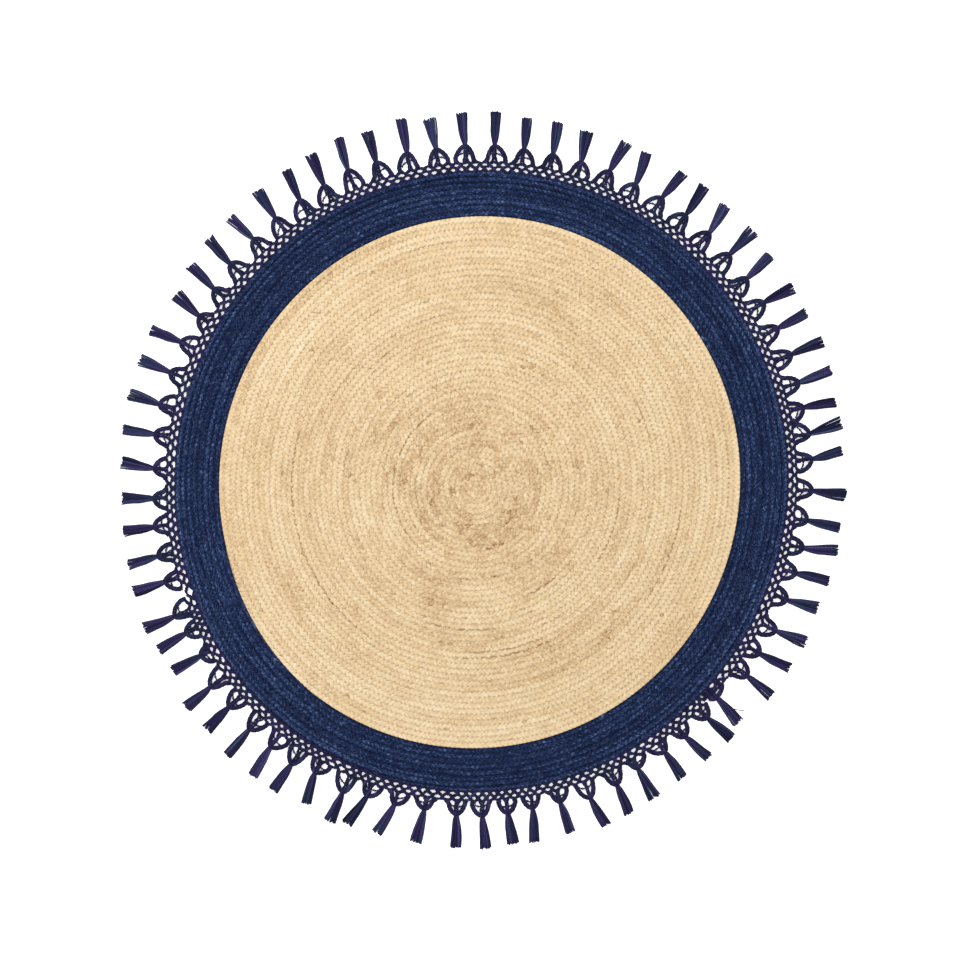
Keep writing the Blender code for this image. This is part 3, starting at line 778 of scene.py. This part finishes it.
def base_body(name, first_turn, last_turn, look, material):
    """Closed low body of a coil, ribbed on both faces, that shows between the leaves.

    Its braid UVs are metres along the braid, and the share across it from its inner seam.
    """
    solid = bmesh.new()
    braid = solid.loops.layers.uv.new("braid")
    tops, floors = body_levels(solid, first_turn, last_turn, look)

    def add_wall(near, far):
        solid.faces.new((tops[near], tops[far], floors[far], floors[near]))

    start, end = 2 * first_turn, 2 * last_turn
    for step in range(BASE_STEPS):
        for index in range(start, end):
            turn, half = divmod(index, 2)
            near, far = (BRAID.length_at(turn + place / BASE_STEPS) for place in (step, step + 1))
            inner, outer = 0.5 * half, 0.5 + 0.5 * half
            ring = [(index, step), (index, step + 1), (index + 1, step + 1), (index + 1, step)]
            places = [(near, inner), (far, inner), (far, outer), (near, outer)]
            for level, order in ((tops, slice(None)), (floors, slice(None, None, -1))):
                face = solid.faces.new([level[key] for key in ring[order]])
                for loop, place in zip(face.loops, places[order]):
                    loop[braid].uv = place
        for index in ((start, end) if start else (end,)):
            add_wall((index, step), (index, step + 1))
    if start == 0:
        for level in (tops, floors):
            for step in range(1, BASE_STEPS):
                solid.faces.new((level[1, 0], level[0, step], level[0, step + 1]))
    for index in (end - 2, end - 1):
        add_wall((index, BASE_STEPS), (index + 1, BASE_STEPS))
    if start:
        for index in (start, start + 1):
            add_wall((index, 0), (index + 1, 0))
    bmesh.ops.remove_doubles(solid, verts=solid.verts, dist=2e-5)
    bmesh.ops.dissolve_degenerate(solid, edges=solid.edges, dist=1e-6)
    bmesh.ops.recalc_face_normals(solid, faces=solid.faces)
    mesh = bpy.data.meshes.new(name)
    solid.to_mesh(mesh)
    solid.free()
    mesh.shade_smooth()
    mesh.set_sharp_from_angle(angle=math.radians(50.0))
    mesh.materials.append(material)
    return finish_piece(placed(name, mesh))


def add_thread(strands, first_turn, last_turn, trees, draw):
    """Sewing thread that zigzags over the seams between turns of the braid."""
    low, high = BRAID.length_at(first_turn), BRAID.length_at(last_turn)
    turns = BRAID.turns_at(np.arange(low, high, 0.5 * THREAD_PITCH))
    turns = turns[:len(turns) // THREAD_CHUNK * THREAD_CHUNK + 1]
    inner, _ = BRAID.seams(turns)
    wave = np.where(np.arange(len(turns)) % 2 == 0, 1.0, -1.0)
    uneven = 1.0 + draw.uniform(-THREAD_UNEVEN, THREAD_UNEVEN, len(turns))
    points = coil_point(inner, SPLICE + turns * FULL_TURN, 0.0, wave * THREAD_REACH * uneven)
    for point in points:
        above = Vector((point[0], point[1], 0.05))
        hits = [tree.ray_cast(above, Vector((0.0, 0.0, -1.0)))[0] for tree in trees]
        point[2] = max([THREAD_LOWEST] + [hit.z + THREAD_LIFT for hit in hits if hit])
    tangents = np.gradient(points, axis=0)
    tangents[:, 2] = 0.0
    across = np.cross(UP, unit(tangents)) * THREAD_HALF_WIDTH
    rows = np.stack([points - across, points + across], axis=1)
    starts = np.arange(0, len(turns) - 1, THREAD_CHUNK)
    grids = np.stack([rows[start:start + THREAD_CHUNK + 1] for start in starts])
    strands.add(grids, 0.5 + draw.normal(0.0, 0.15, len(starts)), 0.0, closed=False)


def add_loose_fibres(strands, first_turn, last_turn, count, draw):
    """Short fibres that have come loose from the strands and lie over the turns."""
    low, high = BRAID.length_at(first_turn), BRAID.length_at(last_turn)
    turns = BRAID.turns_at(draw.uniform(low, high, count))
    middle = BRAID.points(turns, draw.uniform(-1.0, 1.0, count), 0.0)
    heading = np.radians(draw.uniform(0.0, FULL_TURN, count))
    bend = draw.uniform(-FIBRE_BEND, FIBRE_BEND, count)
    length = draw.uniform(*FIBRE_LENGTHS, count)
    place = np.linspace(-0.5, 0.5, len(FIBRE_TAPER))
    step = length / (len(FIBRE_TAPER) - 1)
    turn = heading[:, None] + bend[:, None] * place
    steps = np.stack([np.cos(turn), np.sin(turn), np.zeros_like(turn)], -1) * step[:, None, None]
    paths = middle[:, None] + np.cumsum(steps, axis=1)
    lift = draw.uniform(*FIBRE_LIFTS, (count, 1))
    paths[..., 2] = FIBRE_LEVEL + lift * (1.0 - (2.0 * place[None, :]) ** 2)
    across, _ = path_frames(paths)
    half_width = draw.uniform(*FIBRE_HALF_WIDTHS, (count, 1, 1))
    reach = across * np.array(FIBRE_TAPER)[None, :, None] * half_width
    grids = np.stack([paths - reach, paths + reach], axis=2)
    strands.add(grids, draw.normal(0.6, 0.2, count), 0.0, closed=False)


# The trim


class Lace:
    """Places on one length of the trim: cells along it, and distances outwards from the rim."""

    def __init__(self, edges, tassels):
        self.tassels = tassels
        self.cells = CELLS * len(tassels)
        knots, angles = [], []
        for place, tassel in enumerate(tassels):
            knots += [CELLS * place, CELLS * (place + 0.5)]
            angles += [edges[place], tassel["angle"]]
        self.knots = np.array(knots + [self.cells])
        self.angles = np.array(angles + [edges[-1]])

    def angle(self, cell):
        """Angle at cells along the trim."""
        return np.interp(cell, self.knots, self.angles)

    def point(self, cell, out, height):
        """Point in cells along the trim and metres out from the rim."""
        return coil_point(float(ALL_TURNS), self.angle(cell), height, out)

    def cell_width(self, cell):
        """Metres to a cell at the net's outer edge."""
        return math.radians(self.angle(cell + 0.5) - self.angle(cell - 0.5)) * NET_EDGE_RADIUS


def crossing_cords(lace, draw):
    """The net's cords, each running slantwise through the knots of two rows."""
    paths = []
    for lean in (-1, 1):
        for start in range(-1, lace.cells + 2):
            cell = start + lean * CROSSING_CELLS
            inside = (cell > -0.05) & (cell < lace.cells + 0.05)
            place = np.linspace(0.0, 1.0, inside.sum())
            if len(place) >= 3:
                rows = cell[inside], CROSSING_OUT[inside]
                paths.append([along_path(len(cell), place, row) for row in rows])
    cell, out = np.moveaxis(np.array(paths), 1, 0)
    cell = cell + draw.uniform(-0.08, 0.08, cell.shape)
    out = out + draw.uniform(-DRIFT, DRIFT, out.shape)
    out[:, 0] = CROSSING_OUT[0]
    uneven = draw.uniform(-HEIGHT_UNEVEN, HEIGHT_UNEVEN, out.shape)
    return lace.point(cell, out, np.interp(out, *CROSSING_HEIGHTS) + uneven)


def wound_rings(middles, tangents, radius, turns, length, steps):
    """Paths of a cord wound round places, each about its own direction."""
    tangents = unit(tangents)
    across = unit(np.cross(UP, tangents))
    above = np.cross(tangents, across)
    place = np.linspace(0.0, 1.0, steps)
    turn = place * turns * math.tau
    sideways = np.cos(turn)[None, :, None] * across[:, None]
    upwards = FLATNESS * np.sin(turn)[None, :, None] * above[:, None]
    along = tangents[:, None] * ((place - 0.5) * length)[None, :, None]
    return middles[:, None] + radius * (sideways + upwards) + along


def add_cords(strands, paths, radius, draw, tone=0.36, up=UP):
    """Adds paths as cords with a tone each."""
    tones = tone + draw.normal(0.0, 0.14, len(paths))
    strands.add(tubes(paths, radius, CORD_SIDES, up), tones, 0.0, closed=True)


def add_net(strands, lace, draw):
    """Heading on the rim, and the net of doubled cords knotted where they meet."""
    cell = np.arange(lace.cells)[:, None] + np.linspace(0.0, 1.0, 6)
    for out, height in HEADING_CORDS:
        path = lace.point(cell, out + 0.0003 * np.sin(cell * math.tau + out * 900.0), height)
        pair = twisted_pair(path, 0.0009, 2.0, np.zeros(lace.cells))
        add_cords(strands, pair, THIN_RADIUS, draw, 0.25)

    cords = curve_through(crossing_cords(lace, draw), 15)
    cord_pairs = twisted_pair(cords, PAIR_SPREAD, 3.0, draw.uniform(0.0, ANY_PHASE, len(cords)))
    add_cords(strands, cord_pairs, CORD_RADIUS, draw)

    posts = np.arange(lace.cells) + 0.5
    between = np.arange(lace.cells + 1.0)
    for cells, (low, high) in zip((posts, between, posts), KNOT_ROWS):
        middle = lace.point(cells, 0.5 * (low + high), KNOT_HEIGHT)
        ahead = lace.point(cells, high, KNOT_HEIGHT) - lace.point(cells, low, KNOT_HEIGHT)
        rings = wound_rings(middle, ahead, length=high - low, **KNOT)
        add_cords(strands, rings, THIN_RADIUS, draw, up=unit(ahead[:, None]))


def add_rope(strands, draw, points, samples, cords, twists, phase, spread, widths):
    """Adds cords that twist into a loose, flattened rope through points."""
    path = curve_through(points[None], samples)
    across, _ = path_frames(path)
    turn = phase + np.linspace(0.0, twists * math.tau, samples)[None, :]
    turn = turn + np.arange(cords)[:, None] / cords * math.tau
    widen = spread * along_path(samples, *widths)
    paths = path + across * (ROPE_SPREAD * np.cos(turn) * widen)[..., None]
    paths[..., 2] += FLATNESS * ROPE_SPREAD * np.sin(turn)
    add_cords(strands, paths, ROPE_RADIUS, draw)


def add_loops(strands, lace, draw):
    """The loops gathered into each neck: two arms and a middle strand, and a cord tied across."""
    for place, tassel in enumerate(lace.tassels):
        middle = CELLS * (place + 0.5)
        width = lace.cell_width(middle)
        rise = tassel["rise"]
        fall = rise - NET_EDGE
        skew = draw.uniform(-LOOP_SKEW, LOOP_SKEW)
        for side in (-1, 1):
            foot = (1.0 + draw.uniform(-FOOT_UNEVEN, FOOT_UNEVEN)) * width
            foot = foot * (1.0 + FOOT_SKEW * side * skew)
            bulge = draw.uniform(*BULGES) * (1.0 + side * skew)
            cell = middle + side * np.append(ARM_REACH * bulge, foot) / width
            heights = LOOP_HEIGHTS + draw.uniform(-HEIGHT_UNEVEN, HEIGHT_UNEVEN)
            add_rope(
                strands, draw, lace.point(cell, rise - fall * ARM_FALL, heights), 13, 5,
                side * draw.uniform(*ARM_TWISTS), draw.uniform(0.0, ANY_PHASE), 1.0, ARM_WIDTHS,
            )
        drift = np.concatenate([[0.0], draw.uniform(-DRIFT, DRIFT, 5)])
        out = np.linspace(rise, NET_EDGE - 0.0010, 6)
        add_rope(
            strands, draw, lace.point(middle + drift / width, out, LOOP_HEIGHTS), 11, 4,
            1.0, draw.uniform(0.0, ANY_PHASE), draw.uniform(*MIDDLE_SPREADS), MIDDLE_WIDTHS,
        )

        reach = np.linspace(-TIE_REACH, TIE_REACH, 6) + TIE_REACH * skew
        slope = draw.uniform(-TIE_SLOPE, TIE_SLOPE) * np.linspace(-1.0, 1.0, 6)
        out = rise - fall * (draw.uniform(*TIE_PLACES) + slope + TIE_SAG)
        tie = curve_through(lace.point(middle + reach / width, out, TIE_HEIGHT)[None], 9)
        add_cords(strands, twisted_pair(tie, 0.0011, 2.0, np.zeros(1)), 0.0011, draw)


def tassel_frame(tassel, side):
    """A tassel's neck, and its directions along, and across at this angle to it."""
    heading = tassel["angle"] + tassel["lean"]
    neck = coil_point(float(ALL_TURNS), tassel["angle"], 0.0, tassel["rise"])
    return neck, direction(heading), direction(heading + side)


def add_bunch(strands, lace, draw):
    """The bunched end of the long trim, wound up tight, and the thread that has come loose."""
    for back, out in BUNCH:
        cell = np.array([lace.cells - back])
        middle = lace.point(cell, out, BUNCH_HEIGHT)
        ahead = lace.point(cell + 0.4, out + draw.uniform(-0.002, 0.002), BUNCH_HEIGHT) - middle
        rings = wound_rings(middle, ahead, **BUNCH_WINDING)
        add_cords(strands, rings, TASSEL_CORD_RADIUS, draw, up=ahead[:, None])
    neck, along, across = tassel_frame(lace.tassels[-1], -90.0)
    steps, sideways, heights = np.array(LOOSE_THREAD).T
    thread = neck + along * steps[:, None] + across * sideways[:, None]
    thread[:, 2] = heights
    add_cords(strands, curve_through(thread[None], 12), 0.0009, draw, 0.3)


def add_tassels(strands, lace, draw):
    """Cords that hang from each neck, bound there and cut off unevenly at the tip."""
    stations = TASSEL_STATIONS
    for tassel in lace.tassels:
        neck, along, across = tassel_frame(tassel, 90.0)
        flare = draw.uniform(*TASSEL_FLARES)
        bend = draw.uniform(-TASSEL_BEND, TASSEL_BEND)
        split = draw.uniform(0.0, 1.0) < SPLIT_TASSELS
        half_width = TASSEL_HALF_WIDTHS * (1.0, 1.0, 1.0, 1.0, flare, flare)
        paths = []
        for cords, lanes, share, lift in TASSEL_LAYERS:
            for cord in range(cords):
                lane = (cord - 0.5 * (cords - 1)) / lanes + draw.uniform(-LANE_UNEVEN, LANE_UNEVEN)
                length = tassel["length"] * draw.uniform(*CORD_LENGTHS)
                sideways = lane * half_width + bend * stations ** 2
                if split:
                    sideways = sideways + SPLIT_SPREAD[lane > 0.1] * stations ** 3
                wander = draw.uniform(-CORD_WANDER, CORD_WANDER, len(stations))
                sideways = sideways + wander * (1.0 + 0.5 * stations)
                path = neck + along * (stations * length)[:, None] + across * sideways[:, None]
                path[:, 2] = share * TASSEL_HEIGHTS + lift
                paths.append(path)
        curves = curve_through(np.array(paths), 9)
        radius = TASSEL_CORD_RADIUS * along_path(9, *TASSEL_TAPER)
        tones = draw.normal(0.46, 0.07) + draw.normal(0.0, 0.18, len(paths))
        strands.add(tubes(curves, radius, TASSEL_SIDES), tones, 0.0, closed=True)

        outward = direction(tassel["angle"])
        middle = neck + outward * BINDING_OUT
        middle[2] = BINDING_HEIGHT
        binding = wound_rings(middle[None], outward[None], **BINDING)
        add_cords(strands, binding, 0.0008, draw, up=outward)


# Materials


class Finish:
    """A principled material whose nodes are joined as they are made."""

    def __init__(self, name, roughness, specular=0.25):
        self.material = bpy.data.materials.new(name)
        self.material.use_nodes = True
        self.tree = self.material.node_tree
        self.shader = self.tree.nodes["Principled BSDF"]
        self.set(self.shader, {"Roughness": roughness, "Specular IOR Level": specular})

    def set(self, node, inputs):
        """Sets a node's inputs to values, or joins them to other nodes' outputs."""
        for name, value in inputs.items():
            if isinstance(value, bpy.types.NodeSocket):
                self.tree.links.new(value, node.inputs[name])
            else:
                node.inputs[name].default_value = value

    def node(self, kind, inputs, **settings):
        """New node with these settings and inputs."""
        node = self.tree.nodes.new("ShaderNode" + kind)
        for name, value in settings.items():
            setattr(node, name, value)
        self.set(node, inputs)
        return node

    def math(self, operation, *values, clamp=False):
        """Result of a math node."""
        node = self.node("Math", dict(enumerate(values)), operation=operation, use_clamp=clamp)
        return node.outputs[0]

    def vector_math(self, operation, *values):
        """Result of a vector math node."""
        node = self.node("VectorMath", dict(enumerate(values)), operation=operation)
        return node.outputs["Vector"]

    def attribute(self, name):
        """A number that every point of the piece has."""
        return self.node("Attribute", {}, attribute_name=name).outputs["Fac"]

    def uv(self, name):
        """Places in one of the piece's UV maps."""
        return self.node("UVMap", {}, uv_map=name).outputs["UV"]

    def noise(self, scale, detail, place=None, roughness=0.5):
        """Noise at a place, or else over the whole piece."""
        if place is None:
            place = self.node("TexCoord", {}).outputs["Object"]
        inputs = {"Vector": place, "Scale": scale, "Detail": detail, "Roughness": roughness}
        return self.node("TexNoise", inputs).outputs["Fac"]

    def ramp(self, value, stops):
        """Colour for a value, from (place, (r, g, b)) stops."""
        node = self.node("ValToRGB", {"Fac": value})
        elements = node.color_ramp.elements
        while len(elements) < len(stops):
            elements.new(0.5)
        for element, (place, colour) in zip(elements, stops):
            element.position = place
            element.color = (*colour, 1.0)
        return node.outputs["Color"]

    def multiplied(self, factor, colour, tint):
        """Colour multiplied by a tint, as far as the factor says."""
        inputs = {"Factor": factor, "A": colour, "B": tint}
        node = self.node("Mix", inputs, data_type="RGBA", blend_type="MULTIPLY")
        return node.outputs["Result"]

    def finished(self, colour, roughness, height, strength, distance):
        """The material with this colour, roughness and relief."""
        relief = self.node("Bump", {"Strength": strength, "Distance": distance, "Height": height})
        normal = relief.outputs["Normal"]
        self.set(self.shader, {"Base Color": colour, "Roughness": roughness, "Normal": normal})
        return self.material


def fibre_material(
    name, stops, roughness, specular, streak, bump,
    shade=(1.0, 1.0, 1.0), along=260.0, around=5.0, tint=None,
):
    """Fibrous strand: a tone to each strand, streaks along it, and painted shade on buried parts.

    A tint has the scale of its noise, and two colours that it wanders between.
    """
    make = Finish(name, roughness, specular)
    tone, painted_shade = make.attribute("tone"), make.attribute("painted_shade")
    place = make.vector_math("MULTIPLY", make.uv("fibres"), (along, around, 1.0))
    own_place = {"X": make.math("MULTIPLY", tone, 731.0), "Y": make.math("MULTIPLY", tone, 97.0)}
    own_place = make.node("CombineXYZ", own_place).outputs["Vector"]
    noise = make.noise(1.0, 3.0, make.vector_math("ADD", place, own_place), 0.6)

    centred = make.math("SUBTRACT", noise, 0.5)
    value = make.math("ADD", tone, make.math("MULTIPLY", centred, streak), clamp=True)
    colour = make.ramp(value, stops)
    if tint:
        scale, low, high = tint
        wander = make.ramp(make.noise(scale, 2.0), ((0.36, low), (0.64, high)))
        colour = make.multiplied(1.0, colour, wander)
    # Painted shade: buried points are multiplied towards the shade colour
    colour = make.multiplied(make.math("POWER", painted_shade, 1.4), colour, (*shade, 1.0))
    rough = make.math("ADD", make.math("MULTIPLY", centred, 0.25), roughness, clamp=True)
    return make.finished(colour, rough, noise, bump, 0.0004)


def base_material(name, dark, light, shade):
    """The coil's body: matted fibre between the leaves, and the plait's own pattern below, whose
    leaves darken towards their edges as painted shade between them. Painted shade also lies where
    seams gape and at the splice.
    """
    make = Finish(name, 0.9)
    place = make.node("SeparateXYZ", {"Vector": make.uv("braid")}).outputs
    from_ridge = make.math("ABSOLUTE", make.math("SUBTRACT", place["Y"], 0.5))
    slant = make.math("MULTIPLY", from_ridge, 1.1)
    along = make.math("ADD", make.math("DIVIDE", place["X"], LEAF_PITCH), slant)
    outer_side = make.math("MULTIPLY", make.math("GREATER_THAN", place["Y"], 0.5), 0.5)
    along = make.math("ADD", along, outer_side)
    # The plait's leaves: brightest in their middles and darkest where they meet, as painted shade
    # between them
    wave = make.math("SINE", make.math("MULTIPLY", along, math.pi))
    leaf = make.math("POWER", make.math("ABSOLUTE", wave), 0.5)

    noise = make.noise(420.0, 4.0)
    grain = make.math("MULTIPLY", noise, 0.5)
    tone = make.math("ADD", make.math("MULTIPLY", leaf, 0.5), grain)
    colour = make.ramp(tone, ((0.3, dark), (0.8, light)))
    # Painted shade where seams gape and at the splice
    colour = make.multiplied(make.attribute("painted_shade"), colour, (*shade, 1.0))
    rough = make.math("ADD", make.math("MULTIPLY", noise, 0.2), 0.75, clamp=True)
    return make.finished(colour, rough, tone, 0.8, 0.0014)


NATURAL_STOPS = (
    (0.0, (0.215, 0.105, 0.045)), (0.16, (0.345, 0.205, 0.098)), (0.34, (0.49, 0.345, 0.190)),
    (0.56, (0.580, 0.436, 0.258)), (0.80, (0.625, 0.495, 0.320)), (1.0, (0.655, 0.555, 0.405)),
)
# Navy jute's tones; the slate-blue top is partly paler fibre and partly painted highlight where
# fibres catch the light
NAVY_AND_HIGHLIGHT_STOPS = (
    (0.0, (0.003, 0.006, 0.022)), (0.30, (0.006, 0.013, 0.046)), (0.60, (0.015, 0.031, 0.095)),
    (1.0, (0.090, 0.135, 0.26)),
)
COTTON_STOPS = (
    (0.0, (0.006, 0.006, 0.022)), (0.45, (0.0165, 0.0150, 0.050)), (0.8, (0.037, 0.036, 0.100)),
    (1.0, (0.072, 0.076, 0.170)),
)
THREAD_STOPS = ((0.0, (0.37, 0.26, 0.18)), (0.5, (0.51, 0.39, 0.28)), (1.0, (0.63, 0.52, 0.40)))


# Leaves are made in bands of turns. Rows: part, first turn, last turn
LEAF_BANDS = (
    ("natural", COIL_START, 24), ("natural", 24, 34), ("natural", 34, 41),
    ("natural", 41, NATURAL_TURNS), ("navy", NATURAL_TURNS - SPLICE_SLANT, 50),
    ("navy", 50, ALL_TURNS - 1), ("navy", ALL_TURNS - 1, ALL_TURNS),
)


def build_coils():
    """Bodies, leaves, thread and loose fibres of both parts of the braid."""
    # Each jute's shade colour is the colour of its painted shade in recesses and gaping seams
    natural = fibre_material(
        "jute_natural", NATURAL_STOPS, roughness=0.78, specular=0.22, streak=1.3, bump=0.4,
        shade=(0.46, 0.34, 0.23), along=210.0, around=2.4,
        tint=(330.0, (0.87, 0.85, 0.80), (1.0, 1.0, 1.0)),
    )
    # Navy streaks reach the slate-blue top of its tones: partly paler fibres, partly painted
    # highlights
    navy = fibre_material(
        "jute_navy", NAVY_AND_HIGHLIGHT_STOPS, roughness=0.75, specular=0.07, streak=2.8, bump=0.5,
        shade=(0.16, 0.17, 0.24), along=110.0, around=4.0,
        tint=(90.0, (0.72, 0.76, 0.84), (1.0, 1.0, 0.98)),
    )
    thread = fibre_material(
        "thread_lilac", THREAD_STOPS, roughness=0.7, specular=0.2, streak=0.3, bump=0.3,
    )
    # Body colours: the dark end, where the pattern's leaves meet, is partly fibre colour and
    # partly painted shade; the last colour is that of its painted shade
    natural_base = base_material(
        "jute_natural_body", (0.41, 0.30, 0.17), (0.56, 0.42, 0.25), (0.50, 0.38, 0.27),
    )
    navy_base = base_material(
        "jute_navy_body", (0.003, 0.006, 0.019), (0.010, 0.019, 0.056), (0.5, 0.5, 0.5),
    )

    draw = np.random.default_rng(LEAF_SEED)
    made = {"natural": [], "navy": []}

    def make_piece(part, name, material, stretch, add, *arguments):
        strands = Strands()
        add(strands, *arguments)
        made[part].append(strands.build(f"{part}_{name}", material, f"{part}_jute", stretch))

    looks = {"natural": (NATURAL, natural), "navy": (NAVY, navy)}
    for part, first, last in LEAF_BANDS:
        look, material = looks[part]
        name = f"leaves_{len(made[part]) + 1}"
        make_piece(part, name, material, 2.0, add_leaves, first, last, draw, look)

    bpy.context.view_layer.update()
    graph = bpy.context.evaluated_depsgraph_get()
    trees = {
        part: [BVHTree.FromObject(leaves, graph) for leaves in made[part]] for part in made
    }
    for part, first, last, material in (
        ("natural", 1, NATURAL_TURNS, thread), ("navy", NATURAL_TURNS + 1, ALL_TURNS - 1, navy),
    ):
        make_piece(part, "thread", material, 12.0, add_thread, first, last, trees[part], draw)
    for part, first, last, count, material in (
        ("natural", 0.2, NATURAL_TURNS - 2.6, 2400, natural), ("navy", 47.4, 53.6, 900, navy),
    ):
        make_piece(part, "fibres", material, 6.0, add_loose_fibres, first, last, count, draw)

    natural_body = base_body(
        "natural_body", 0, NATURAL_TURNS, NATURAL, natural_base,
    )
    navy_body = base_body("navy_body", NATURAL_TURNS, ALL_TURNS, NAVY, navy_base)
    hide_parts("natural_coil")
    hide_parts("navy_border_coil")


def build_trims():
    """Net, loops and tassels of both lengths of trim."""
    cotton = fibre_material(
        "cotton_navy", COTTON_STOPS, roughness=0.8, specular=0.07, streak=0.9, bump=0.6,
        along=500.0, around=3.0, tint=(22.0, (1.0, 0.80, 1.0), (0.70, 1.0, 0.84)),
    )
    draw = np.random.default_rng(LACE_SEED)
    for name, edges, tassels in LENGTHS:
        lace = Lace(edges, tassels)
        net, loops, ends = Strands(), Strands(), Strands()
        add_net(net, lace, draw)
        add_loops(loops, lace, draw)
        if name == "long":
            add_bunch(loops, lace, draw)
        add_tassels(ends, lace, draw)
        net_piece, loop_piece, tassel_piece = (
            strands.build(f"{name}_trim_{kind}", cotton, "navy_cotton", stretch)
            for strands, kind, stretch in (
                (net, "net", 4.0), (loops, "loops", 6.0), (ends, "tassels", 8.0),
            )
        )
        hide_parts(f"{name}_tasselled_trim")


# Stage

WHITE = (1.0, 1.0, 1.0, 1.0)
FLOOR_SIZE = 6.0
FLOOR_HEIGHT = -0.0005
FLOOR_COLOUR = (0.85, 0.85, 0.85, 1.0)
FLOOR_GLOW = 0.55
SKY_STRENGTH = 1.28
LAMP_SIZE = 2.4
LAMP_ENERGY = 60.0
LAMP_PLACE = (-1.5, 1.7, 2.4)
LENS = 85.0
SENSOR_WIDTH = 36.0
CAMERA_REACH = 20.0
CAMERA_PLACE = (-0.0008, 0.0049, 3.721)


def build_stage():
    """Pale floor, soft light from above and a camera straight above."""
    scene = bpy.context.scene
    scene.view_settings.view_transform = "Standard"

    mesh = bpy.data.meshes.new("floor")
    corners = ((-1.0, -1.0), (1.0, -1.0), (1.0, 1.0), (-1.0, 1.0))
    points = [(FLOOR_SIZE * x, FLOOR_SIZE * y, FLOOR_HEIGHT) for x, y in corners]
    mesh.from_pydata(points, [], [(0, 1, 2, 3)])
    pale = Finish("floor_pale", 0.9)
    pale.set(pale.shader, {
        "Base Color": FLOOR_COLOUR, "Emission Color": WHITE, "Emission Strength": FLOOR_GLOW,
    })
    mesh.materials.append(pale.material)
    placed("floor", mesh)

    world = bpy.data.worlds.new("studio")
    world.use_nodes = True
    sky = world.node_tree.nodes["Background"]
    sky.inputs["Color"].default_value = WHITE
    sky.inputs["Strength"].default_value = SKY_STRENGTH
    scene.world = world

    key = bpy.data.lights.new("key", "AREA")
    key.shape = "DISK"
    key.size = LAMP_SIZE
    key.energy = LAMP_ENERGY
    lamp = placed("key", key, LAMP_PLACE)
    lamp.rotation_euler = (-lamp.location).to_track_quat("-Z", "Y").to_euler()

    lens = bpy.data.cameras.new("camera")
    lens.lens = LENS
    lens.sensor_width = SENSOR_WIDTH
    lens.clip_end = CAMERA_REACH
    scene.camera = placed("camera", lens, CAMERA_PLACE)


build_coils()
build_trims()
build_stage()
